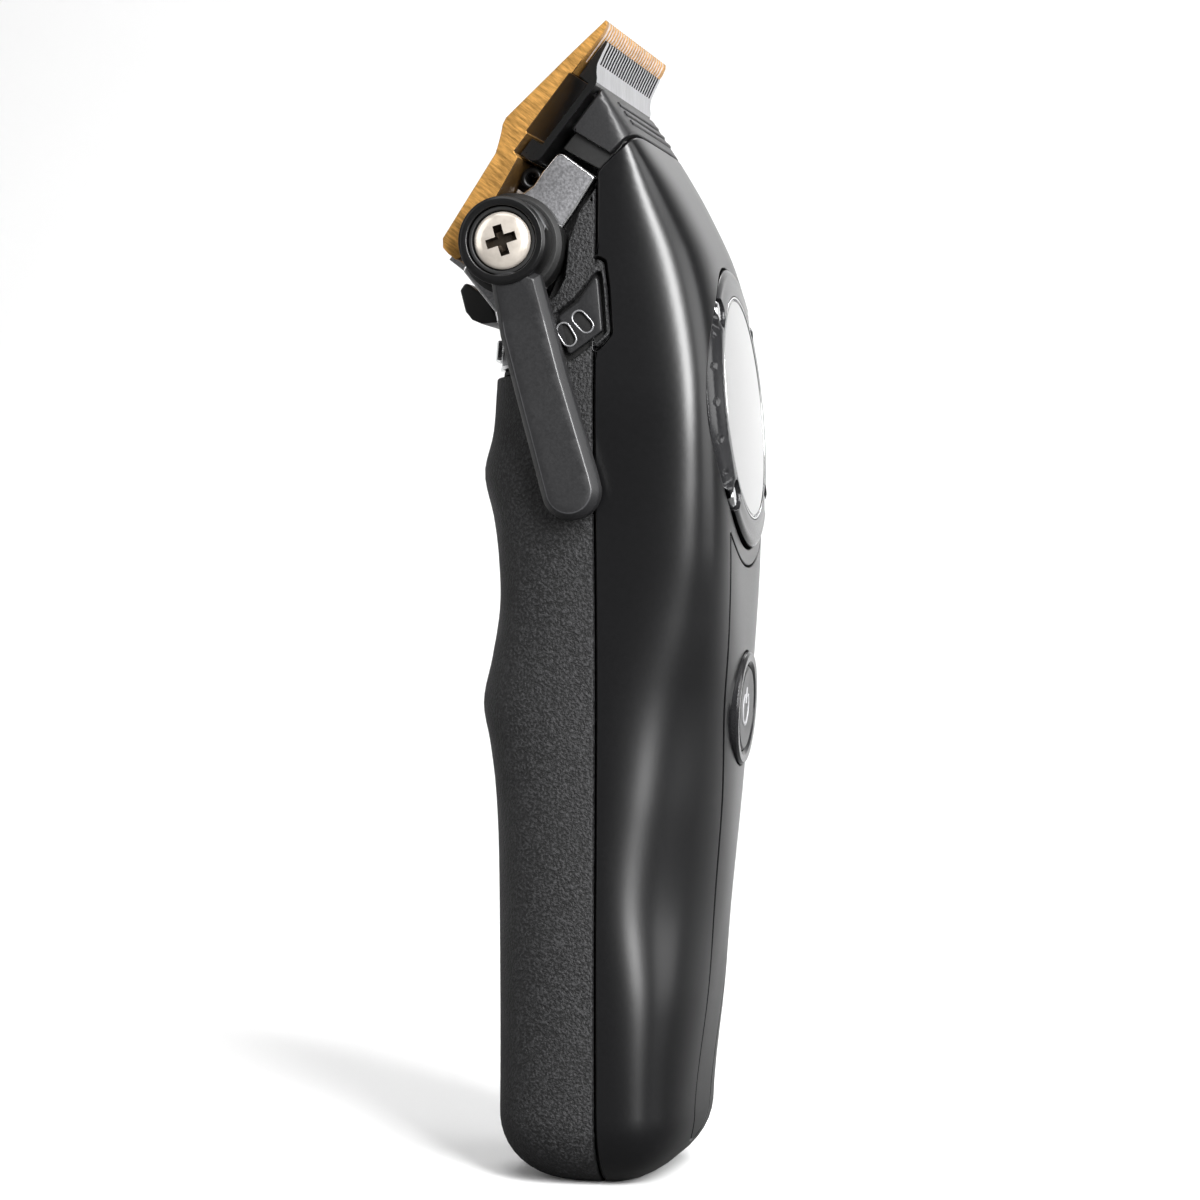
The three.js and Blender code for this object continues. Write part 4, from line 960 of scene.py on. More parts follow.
def build_fixed_blade(m):
    """Hollow ground blade: a thin toothed front, a step under the cutter and a thick heel."""
    lower = [(-38, 2.0), (-37.8, 0.9), (-36.8, 0.1), (-23.3, -1.1), (-21.6, -1.75), (-20.5, -2.25),
             (-19.6, -2.72),
             (-18.6, -2.9), (0, 0)]
    upper = [(-38, 3.3), (-37.4, heel_face(-37.4)), (-26.8, heel_face(-26.8)), (-21.9, 1.8), (-21.6, 0.82),
             (-18.6, 0.82), (-18.4, 0.5), (-8.6, 0.5), (-8.4, 0.82), (-1.6, 0.82), (-0.5, 0.6), (0, 0.3)]
    at = sorted({u for u, _ in lower} | {u for u, _ in upper} | {-6.2, -3.5, -30, -12})
    lows, highs = zip(*lower), zip(*upper)
    lu, ln = lows
    hu, hn = highs
    stations = [(u, float(np.interp(u, lu, ln)), float(np.interp(u, hu, hn))) for u in at]
    columns = tooth_columns(22.5, 1.65, 0.85, 25)
    blade = comb("fixed_blade_body", stations, columns, -6.2, 0.62)
    screws = []
    for side in (-1, 1):
        x, z = on_blade(-31.5, 0)
        axis = (-math.cos(BLADE_TILT), 0, math.sin(BLADE_TILT))
        screws.append(turned(f"screw_hole_{side}",
                             [(0, -8), (1.7, -8), (1.7, -1.2), (3.1, 0.35), (3.1, 4), (0, 4)],
                             (x, side * 9, z), axis, 48))
    cut_out(blade, *screws)
    bevelled(blade, 0.09, 1, 40)
    blade.data.materials.append(m["gold"])
    blade.data.materials.append(m["slot_wall"])
    blade.data.materials.append(m["channel_painted_shade"])
    x0, z0 = on_blade(0, 0)
    for face in blade.data.polygons:
        normal = face.normal
        x, _, z = face.center / MM
        u = (x - x0) * math.sin(BLADE_TILT) + (z - z0) * math.cos(BLADE_TILT)
        if abs(normal.y) > 0.85 and abs(face.center.y) < 21.5 * MM:
            face.material_index = 1
        # Top faces of the blade behind the teeth, under the cutter, get a dark gold: painted shade.
        elif normal.x * math.cos(BLADE_TILT) - normal.z * math.sin(BLADE_TILT) > 0.6 and u < -7:
            face.material_index = 2
    finished(blade, "blade_carriage", None, "fixed_blade")
    slider = shaped_like("blade_slider", "blade_slider_block", 0.25)
    finished(slider, "blade_carriage", m["steel"], "blade_slider")
    for i, side in enumerate((-1, 1)):
        x, z = on_blade(-31.5, 0)
        axis = (-math.cos(BLADE_TILT), 0, math.sin(BLADE_TILT))
        profile = worn_profile([(0, -5.2), (1.4, -5.2), (1.4, -1.3), (2.8, 0.05), (2.8, 0.2), (1.6, 0.32),
                                (0, 0.34)], 0.12)
        screw = turned(f"blade_screw_head_{i + 1}", profile, (x, side * 9, z), axis, 64)
        cross_recess(screw, (x, side * 9, z), axis, 0.4, 1.35, 0.34, 20 + 30 * i)
        finished(screw, "blade_carriage", m["nickel"], f"blade_screw_{i + 1}")


def cross_recess(obj, origin, axis, top, arm, width, turn, deep=1.1):
    """Cuts a tapered cross into a screw head."""
    up = Vector(axis).normalized()
    right = Vector((0, 0, 1)).cross(up)
    right = right.normalized() if right.length > 0.01 else up.orthogonal().normalized()
    ahead = up.cross(right)
    c, s = math.cos(math.radians(turn)), math.sin(math.radians(turn))
    a, b = right * c + ahead * s, ahead * c - right * s
    for k, (p, q) in enumerate(((a, b), (b, a))):
        vertices, base = [], Vector(origin)
        for height, long, wide in ((top + 0.3, arm * 1.1, width * 1.1),
                                   (top - deep, arm * 0.62, width * 0.8)):
            for i, j in ((-1, -1), (1, -1), (1, 1), (-1, 1)):
                vertices.append(base + up * height + p * long * i + q * wide * j)
        faces = [(0, 1, 2, 3), (7, 6, 5, 4), (0, 4, 5, 1), (1, 5, 6, 2), (2, 6, 7, 3), (3, 7, 4, 0)]
        bar = new_object(f"recess_bar_{k}", vertices, faces)
        bm = bmesh.new()
        bm.from_mesh(bar.data)
        bmesh.ops.recalc_face_normals(bm, faces=bm.faces)
        bm.to_mesh(bar.data)
        bm.free()
        cut_out(obj, bar)


def build_cutter(m):
    """Bridge shaped moving blade: dark teeth, a ground land that rises to the outer face, and a bent end."""
    foot = 1.12
    top_line = [(-21.4, 2.3), (-21.2, 3.0), (-20.6, 3.5), (-19.9, 3.7), (-7.9, 3.7), (-7.4, 3.6), (-6.9, 3.3),
                (-6.3, 2.75), (-5.7, 2.35), (-5.3, 2.15), (-3.8, 1.8), (-2.5, 1.55), (-2.2, 1.42)]
    under = [(-21.4, foot), (-18.72, foot), (-18.7, 2.75), (-8.22, 2.75), (-8.2, foot), (-2.2, foot)]
    at = sorted({u for u, _ in top_line} | {u for u, _ in under})
    tu, tn = zip(*top_line)
    uu, un = zip(*under)
    stations = [(u, float(np.interp(u, uu, un)), float(np.interp(u, tu, tn))) for u in at]
    columns = tooth_columns(19.9, 1.62, 0.81, 23)
    cutter = comb("cutter_body", stations, columns, -5.3, 0.9)
    bevelled(cutter, 0.06, 1, 40)
    cutter.data.materials.append(m["coated"])
    cutter.data.materials.append(m["ground"])
    tilt_u = Vector((math.sin(BLADE_TILT), 0, math.cos(BLADE_TILT)))
    tilt_n = Vector((math.cos(BLADE_TILT), 0, -math.sin(BLADE_TILT)))
    for face in cutter.data.polygons:
        centre = face.center / MM - Vector((BLADE_TIP[0], 0, BLADE_TIP[1]))
        u = centre.dot(tilt_u)
        facing = face.normal.dot(tilt_n)
        if -7.5 < u < -5.3 and facing > 0.2 and abs(face.normal.y) < 0.5:
            face.material_index = 1
        if u >= -5.3 and facing > 0.7:
            face.material_index = 1
    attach(cutter, "cutter")
    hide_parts("cutter_blade")
    yoke = shaped_like("cutter_yoke", "cutter_yoke_block", 0.25)
    finished(yoke, "cutter", m["dark"], "cutter_yoke")


def paint_recess_shade(obj, origin, axis, reach, floor):
    """Gives the walls and floor of a driver recess the second finish of a screw, a dark metal that is painted
    shade.
    """
    up = Vector(axis).normalized()
    for face in obj.data.polygons:
        away = face.center / MM - Vector(origin)
        height = away.dot(up)
        radius = (away - up * height).length
        steep = face.normal.dot(up) < 0.6
        if radius < reach and height > floor - 1.5 and (steep or height < floor):
            face.material_index = 1


def tube(name, path, radius, facets=10):
    """Round wire along a path."""
    vertices, faces, rows = [], [], []
    points = [Vector(p) for p in path]
    up = Vector((0, 1, 0.3)).normalized()
    for i, p in enumerate(points):
        ahead = (points[min(i + 1, len(points) - 1)] - points[max(i - 1, 0)]).normalized()
        side = ahead.cross(up)
        side = side.normalized() if side.length > 0.05 else ahead.orthogonal().normalized()
        other = side.cross(ahead).normalized()
        up = other
        rows.append([])
        for k in range(facets):
            a = 2 * math.pi * k / facets
            rows[-1].append(len(vertices))
            vertices.append(p + (side * math.cos(a) + other * math.sin(a)) * radius)
    for lower, upper in zip(rows, rows[1:]):
        for k in range(facets):
            n = (k + 1) % facets
            faces.append((lower[n], lower[k], upper[k], upper[n]))
    faces.append(tuple(rows[0]))
    faces.append(tuple(reversed(rows[-1])))
    obj = new_object(name, vertices, faces, 40)
    bm = bmesh.new()
    bm.from_mesh(obj.data)
    bmesh.ops.recalc_face_normals(bm, faces=bm.faces)
    bm.to_mesh(obj.data)
    bm.free()
    return obj


def build_tension_spring(m):
    """Coiled spring across the head with a leg on each side that presses on the cutter."""
    bx, bz = on_blade(-23.3, 3.6)
    path = []
    turns, coil, wire = 5, 1.15, 0.42
    for side in (-1,):
        path += [(bx + coil * math.cos(a), -16.6 + 0.9 * a / (2 * math.pi), bz + coil * math.sin(a))
                 for a in np.linspace(0, 2 * math.pi * turns, turns * 18)]
    path += [(bx + coil, y, bz) for y in np.linspace(-11.9, 11.9, 12)]
    path += [(bx + coil * math.cos(a), 12.1 + 0.9 * a / (2 * math.pi), bz + coil * math.sin(a))
             for a in np.linspace(0, 2 * math.pi * turns, turns * 18)]
    spring = tube("tension_spring_coil", path, wire)
    finished(spring, "root", m["black_steel"], "tension_spring")
    for side, name in ((-1, "left"), (1, "right")):
        leg = [on_blade(u, n) for u, n in ((-24.4, 4.6), (-22.2, 4.35), (-19.2, 4.25), (-19.0, 4.45),
                                           (-19.2, 4.75),
                                           (-22.2, 4.95), (-24.4, 5.2))]
        plate = panel(f"spring_leg_{name}", [softened(leg, 0.1, 2)], lever_side(12.2 * side - 0.6), 1.2,
                      rounded_edge(0.12), rounded_edge(0.12), smooth_angle=40)
        finished(plate, "root", m["black_steel"], "tension_spring")


# ---------------------------------------------------------------- lever


def build_lever(m):
    """Flat arm with broad chamfers, its hub ring, the screw, the washer and the crank behind them."""
    px, pz = PIVOT
    crease, slope = pz - 10.6, 0.16

    def place(a, b, depth):
        return Vector((a, ARM["outer"] - max(0.0, b - crease) * slope + depth, b)), Vector((0, -1, 0))

    tip = arc((8.95, -33.6), 4.0, -166, 6, 24)
    left = [(-1.9, -4.0), (-1.6, -7.0), (-0.7, -12.7), (1.2, -20.0)]
    right = [(12.5, -31.4), (8.4, -17.9), (6.2, -9.6), (5.0, -4.6), (1.2, -3.4)]
    outline = [(px + x, pz + z) for x, z in dense(left + tip + right, 0.9)]
    chamfer = [(0.0, 1.5), (0.03, 1.3), (0.12, 1.15), (0.72, 0.2), (0.84, 0.07), (1.02, 0.0)]
    arm = panel("lever_arm", [outline], place, 3.4, chamfer, rounded_edge(0.4), grid=0.9, smooth_angle=38)
    arm.data.materials.append(m["trim"])
    arm.data.materials.append(m["ridge"])
    # Chamfer faces below the crease get the lighter edge material: a painted highlight along the ridges.
    for face in arm.data.polygons:
        facing = -face.normal.y
        if 0.78 < facing < 0.985 and face.center.z < crease * MM:
            face.material_index = 1
    face, back, bore, well = HUB["face"], HUB["back"], HUB["bore"], HUB["recess_radius"]
    floor = face - HUB["recess"]
    hub_profile = worn_profile([
        (bore, back), (HUB["radius"], back), (HUB["radius"], face - 0.4), (HUB["radius"] - 0.4, face),
        (well, face), (well, floor), (1.6, floor), (1.6, floor - 1.7), (bore, floor - 1.7),
    ], 0.16)
    hub = turned("lever_hub", hub_profile, (px, 0, pz), (0, -1, 0))
    collar = turned("lever_hub_ring", worn_profile([(4.1, 26.3), (4.6, 26.3), (4.6, 27.3), (4.1, 27.3)],
                                                   0.12),
                    (px, 0, pz), (0, -1, 0))
    for piece, material in ((arm, None), (hub, m["hub"]), (collar, m["dark"])):
        finished(piece, "lever", material, "taper_lever")
    dome = [(0, 18.2), (1.3, 18.2), (1.3, 26.1), (3.9, 26.1), (3.9, 26.9)]
    dome += [(3.9 * math.cos(a), 26.9 + 1.05 * math.sin(a)) for a in np.linspace(0.12, math.pi / 2, 12)]
    dome[-1] = (0, dome[-1][1])
    screw = turned("lever_screw_head", worn_profile(dome, 0.1, 2), (px, 0, pz), (0, -1, 0))
    cross_recess(screw, (px, 0, pz), (0, -1, 0), 27.95, 2.15, 0.6, 17, 1.6)
    screw.data.materials.clear()
    screw.data.materials.append(m["nickel"])
    screw.data.materials.append(m["recess_painted_shade"])
    paint_recess_shade(screw, (px, 0, pz), (0, -1, 0), 2.4, 27.0)
    finished(screw, "lever", None, "lever_screw")
    washer = turned("lever_washer_ring", worn_profile([(3.3, 22.2), (4.5, 22.2), (4.5, 22.6), (3.3, 22.6)],
                                                      0.08),
                    (px, 0, pz), (0, -1, 0))
    finished(washer, "root", m["steel"], "lever_washer")
    crank = shaped_like("lever_crank", "lever_crank_block", 0.15)
    finished(crank, "lever", m["steel"], "lever_crank")


# ---------------------------------------------------------------- display and button


def tilted(centre, tilt):
    """Frame of a round fitting on the front: origin, right (+Y), up and outward directions."""
    a = math.radians(tilt)
    origin = Vector((centre[0], 0, centre[1]))
    return origin, Vector((0, 1, 0)), Vector((-math.sin(a), 0, math.cos(a))), Vector((math.cos(a), 0,
                                                                                      math.sin(a)))


def smooth_step(low, high, value):
    t = min(max((value - low) / (high - low), 0), 1)
    return t * t * (3 - 2 * t)


def bezel_height(y, z):
    """Outer face of the display ring: raised inside, with a lowered band and dimples on its two sides."""
    r = math.hypot(y, z)
    angle = math.degrees(math.atan2(z, abs(y)))
    height = 0.3 - 0.2 * smooth_step(16.0, 18.4, r) - 0.6 * max(0.0, (r - 18.4) / 1.1) ** 2
    beside = 1 - smooth_step(35, 38, abs(angle))
    height -= beside * 0.55 * max(0.0, r - 16.9)
    for k in range(-2, 3):
        a = math.radians(15.5 * k)
        gap = math.hypot(abs(y) - 18.3 * math.cos(a), z - 18.3 * math.sin(a))
        height -= 0.22 * (1 - smooth_step(0.15, 0.6, gap))
    return height


def build_display(m):
    origin, right, up, out = tilted(DISPLAY["centre"], DISPLAY["tilt"])

    def place(a, b, depth):
        def spot(p, q):
            return origin + right * p + up * q + out * bezel_height(p, q)
        here = spot(a, b)
        normal = (spot(a + 0.03, b) - spot(a - 0.03, b)).cross(spot(a, b + 0.03) - spot(a,
            b - 0.03)).normalized()
        return here - (normal if depth < 0.6 else out) * depth, normal

    outer, seat, circle_r = DISPLAY["outer"], STUDS["seat"], STUDS["circle"]
    outline = []
    for k in range(4):
        middle = 45 + 90 * k
        across = (circle_r ** 2 + outer ** 2 - seat ** 2) / (2 * circle_r * outer)
        half = math.degrees(math.acos(across))
        outline += arc((0, 0), outer, middle - 90 + half, middle - half, 48)
        centre = (circle_r * math.cos(math.radians(middle)), circle_r * math.sin(math.radians(middle)))
        edge = math.degrees(math.atan2(outer * math.sin(math.radians(-half)),
                                       outer * math.cos(math.radians(half)) - circle_r))
        outline += notch(centre, seat, middle, edge)
    bore = circle(DISPLAY["bore"], count=110)
    bezel = panel("display_ring", [outline, bore], place, 3.0, rounded_edge(0.16, 3), grid=0.36)
    finished(bezel, "root", m["bezel"], "display_bezel")
    dome = [(0, -1.4), (15.3, -1.4), (15.3, -0.1), (14.9, 0.25)]
    dome += [(14.9 * (1 - t), 0.25 + 0.25 * (1 - (1 - t) ** 2)) for t in np.linspace(0.03, 1, 14)]
    lens = turned("display_window", dome, tuple(origin), tuple(out), 128)
    finished(lens, "root", m["lens"], "display_lens")
    trim = turned("display_window_trim", worn_profile([(15.32, -0.7), (15.56, -0.7), (15.56, 0.32),
                                                       (15.32, 0.32)], 0.05),
                  tuple(origin), tuple(out), 128)
    finished(trim, "root", m["polished"], "display_bezel")
    for k in range(4):
        a = math.radians(45 + 90 * k)
        spot = origin + right * circle_r * math.sin(a) + up * circle_r * math.cos(a)
        profile = worn_profile([(0, -1.2), (1.7, -1.2), (1.7, -0.5), (1.4, -0.18), (0.9, -0.1), (0, -0.06)],
                               0.14)
        stud = turned(f"bezel_stud_cap_{k + 1}", profile, tuple(spot), tuple(out), 48)
        node = nearest_node([f"bezel_stud_{i}" for i in range(1, 5)], spot * MM)
        finished(stud, "root", m["chrome"], node)


def notch(centre, radius, middle, edge):
    """Round notch in the ring's outer edge, walked inwards from one side to the other."""
    start, end = middle - abs(edge), middle - 360 + abs(edge)
    return arc(centre, radius, start, end, 24)[1:-1]


def nearest_node(names, spot):
    def gap(name):
        low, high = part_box(name)
        return ((low + high) / 2 - spot).length
    return min(names, key=gap)


def build_button(m):
    origin, right, up, out = tilted(BUTTON["centre"], BUTTON["tilt"])
    ring_profile = worn_profile([(6.1, -1.1), (7.9, -1.1), (7.9, 0.05), (7.6, 0.35), (6.6, 0.3),
                                 (6.1, -0.1)], 0.14)
    finished(turned("button_trim_ring", ring_profile, tuple(origin), tuple(out)), "root", m["bezel"],
             "button_ring")
    cap_profile = worn_profile([(0, -3), (5.9, -3), (5.9, -0.1), (5.5, 0.2), (3.0, 0.02), (0, -0.05)], 0.12)
    cap = turned("power_cap", cap_profile, tuple(origin), tuple(out))
    finished(cap, "button", m["cap"], "power_button")
    face = flat(tuple(origin + out * 0.12), right, up)
    sweep = arc((0, 0), 2.45, 125, 415, 40)
    inner = arc((0, 0), 1.95, 415, 125, 40)
    symbol = panel("power_symbol_arc", [sweep + inner], face, 0.25, rounded_edge(0.05, 2), smooth_angle=40)
    bar = panel("power_symbol_bar", [softened([(-0.25, 0.6), (0.25, 0.6), (0.25, 2.9), (-0.25, 2.9)], 0.2,
                                              3)], face,
                0.25, rounded_edge(0.05, 2), smooth_angle=40)
    for piece in (symbol, bar):
        finished(piece, "button", m["symbol"], "power_button")


# ---------------------------------------------------------------- finishes


def group_with(name, inputs, outputs):
    """An empty node group with named sockets; inputs are (name, type, default)."""
    group = bpy.data.node_groups.new(name, "ShaderNodeTree")
    for label, kind, default in inputs:
        socket = group.interface.new_socket(label, in_out="INPUT", socket_type=kind)
        socket.default_value = default
    for label, kind in outputs:
        group.interface.new_socket(label, in_out="OUTPUT", socket_type=kind)
    return group, group.nodes.new("NodeGroupInput"), group.nodes.new("NodeGroupOutput")


def math_node(tree, operation, a, b=None, clamp=False):
    node = tree.nodes.new("ShaderNodeMath")
    node.operation = operation
    node.use_clamp = clamp
    for socket, value in zip(node.inputs, (a, b)):
        if value is None:
            continue
        if isinstance(value, (int, float)):
            socket.default_value = value
        else:
            tree.links.new(value, socket)
    return node.outputs[0]


def noise_node(tree, vector, scale, detail=3.0, rough=0.55):
    node = tree.nodes.new("ShaderNodeTexNoise")
    node.inputs["Detail"].default_value = detail
    node.inputs["Roughness"].default_value = rough
    if isinstance(scale, (int, float)):
        node.inputs["Scale"].default_value = scale
    else:
        tree.links.new(scale, node.inputs["Scale"])
    tree.links.new(vector, node.inputs["Vector"])
    return node.outputs["Fac"]


def mix_colour(tree, factor, a, b, blend="MIX"):
    node = tree.nodes.new("ShaderNodeMix")
    node.data_type = "RGBA"
    node.blend_type = blend
    for socket, value in ((node.inputs[0], factor), (node.inputs[6], a), (node.inputs[7], b)):
        if isinstance(value, (int, float)):
            socket.default_value = value
        elif isinstance(value, (tuple, list)):
            socket.default_value = (*value[:3], 1)
        else:
            tree.links.new(value, socket)
    return node.outputs[2]


def grain_group():
    """Fine moulded or blasted grain: a height, a roughness and a mask that varies the colour."""
    group, ins, outs = group_with(
        "Fine Grain",
        [("Scale", "NodeSocketFloat", 2500.0), ("Roughness", "NodeSocketFloat", 0.5),
         ("Variation", "NodeSocketFloat", 0.1)],
        [("Height", "NodeSocketFloat"), ("Roughness", "NodeSocketFloat"), ("Mask", "NodeSocketFloat")])
    spot = group.nodes.new("ShaderNodeTexCoord").outputs["Object"]
    fine = noise_node(group, spot, ins.outputs["Scale"], 2.0, 0.6)
    broad = noise_node(group, spot, 90.0, 3.0, 0.5)
    swing = math_node(group, "MULTIPLY", math_node(group, "SUBTRACT", broad, 0.5), ins.outputs["Variation"])
    speck = math_node(group, "MULTIPLY", math_node(group, "SUBTRACT", fine, 0.5), ins.outputs["Variation"])
    total = math_node(group, "ADD", math_node(group, "ADD", ins.outputs["Roughness"], swing), speck, True)
    group.links.new(fine, outs.inputs["Height"])
    group.links.new(total, outs.inputs["Roughness"])
    group.links.new(fine, outs.inputs["Mask"])
    return group


def brushed_group():
    """Lines of a brushed surface, drawn along one direction of the piece."""
    group, ins, outs = group_with(
        "Brushed Lines",
        [("Turn", "NodeSocketVector", (0, 0, 0)), ("Lines", "NodeSocketVector", (2500, 2500, 200)),
         ("Roughness", "NodeSocketFloat", 0.35), ("Variation", "NodeSocketFloat", 0.2)],
        [("Height", "NodeSocketFloat"), ("Roughness", "NodeSocketFloat"), ("Mask", "NodeSocketFloat")])
    spot = group.nodes.new("ShaderNodeTexCoord").outputs["Object"]
    turn = group.nodes.new("ShaderNodeVectorRotate")
    turn.rotation_type = "EULER_XYZ"
    group.links.new(spot, turn.inputs["Vector"])
    group.links.new(ins.outputs["Turn"], turn.inputs["Rotation"])
    stretch = group.nodes.new("ShaderNodeVectorMath")
    stretch.operation = "MULTIPLY"
    group.links.new(turn.outputs[0], stretch.inputs[0])
    group.links.new(ins.outputs["Lines"], stretch.inputs[1])
    lines = noise_node(group, stretch.outputs[0], 1.0, 4.0, 0.65)
    blotch = noise_node(group, spot, 160.0, 2.0, 0.5)
    swing = math_node(group, "MULTIPLY", math_node(group, "SUBTRACT", lines, 0.5), ins.outputs["Variation"])
    total = math_node(group, "ADD", ins.outputs["Roughness"], swing, True)
    mask = math_node(group, "ADD", math_node(group, "MULTIPLY", lines, 0.75),
                     math_node(group, "MULTIPLY", blotch, 0.25))
    group.links.new(lines, outs.inputs["Height"])
    group.links.new(total, outs.inputs["Roughness"])
    group.links.new(mask, outs.inputs["Mask"])
    return group


def dust_group():
    """Thin dust that settles on faces that look up."""
    group, ins, outs = group_with(
        "Settled Dust",
        [("Colour", "NodeSocketColor", (0.1, 0.1, 0.1, 1)), ("Dust", "NodeSocketColor", (0.4, 0.39, 0.37, 1)),
         ("Amount", "NodeSocketFloat", 0.04)],
        [("Colour", "NodeSocketColor")])
    spot = group.nodes.new("ShaderNodeTexCoord")
    split = group.nodes.new("ShaderNodeSeparateXYZ")
    group.links.new(spot.outputs["Normal"], split.inputs[0])
    up = math_node(group, "MAXIMUM", split.outputs["Z"], 0.0)
    patches = noise_node(group, spot.outputs["Object"], 220.0, 4.0, 0.6)
    cover = math_node(group, "MULTIPLY", math_node(group, "MULTIPLY", up, patches), ins.outputs["Amount"],
                      True)
    colour = mix_colour(group, cover, ins.outputs["Colour"], ins.outputs["Dust"])
    group.links.new(colour, outs.inputs["Colour"])
    return group


def finish(name, groups, colour, second=None, metallic=0.0, roughness=0.4, variation=0.08, bump=0.2,
           bump_depth=0.02,
           grain=2500.0, lines=None, turn=(0, 0, 0), coat=0.0, coat_roughness=0.1, ior=1.5,
           spread=(0.35, 0.65),
           dust=0.02, specular=0.5):
    """A procedural material: grain or brushed lines give its colour range, roughness and bump."""
    material = bpy.data.materials.new(name)
    material.use_nodes = True
    tree = material.node_tree
    shader = tree.nodes["Principled BSDF"]
    effect = tree.nodes.new("ShaderNodeGroup")
    effect.node_tree = groups["brushed" if lines else "grain"]
    effect.inputs["Roughness"].default_value = roughness
    effect.inputs["Variation"].default_value = variation
    if lines:
        effect.inputs["Lines"].default_value = lines
        effect.inputs["Turn"].default_value = turn
    else:
        effect.inputs["Scale"].default_value = grain
    ramp = tree.nodes.new("ShaderNodeMapRange")
    ramp.inputs["From Min"].default_value, ramp.inputs["From Max"].default_value = spread
    tree.links.new(effect.outputs["Mask"], ramp.inputs["Value"])
    second = second or tuple(c * 1.25 for c in colour)
    mixed = mix_colour(tree, ramp.outputs[0], colour, second)
    dusty = tree.nodes.new("ShaderNodeGroup")
    dusty.node_tree = groups["dust"]
    dusty.inputs["Amount"].default_value = dust
    tree.links.new(mixed, dusty.inputs["Colour"])
    tree.links.new(dusty.outputs["Colour"], shader.inputs["Base Color"])
    tree.links.new(effect.outputs["Roughness"], shader.inputs["Roughness"])
    shader.inputs["Metallic"].default_value = metallic
    shader.inputs["Coat Weight"].default_value = coat
    shader.inputs["Coat Roughness"].default_value = coat_roughness
    shader.inputs["IOR"].default_value = ior
    shader.inputs["Specular IOR Level"].default_value = specular
    relief = tree.nodes.new("ShaderNodeBump")
    relief.inputs["Strength"].default_value = bump
    relief.inputs["Distance"].default_value = bump_depth * MM
    tree.links.new(effect.outputs["Height"], relief.inputs["Height"])
    tree.links.new(relief.outputs[0], shader.inputs["Normal"])
    return material


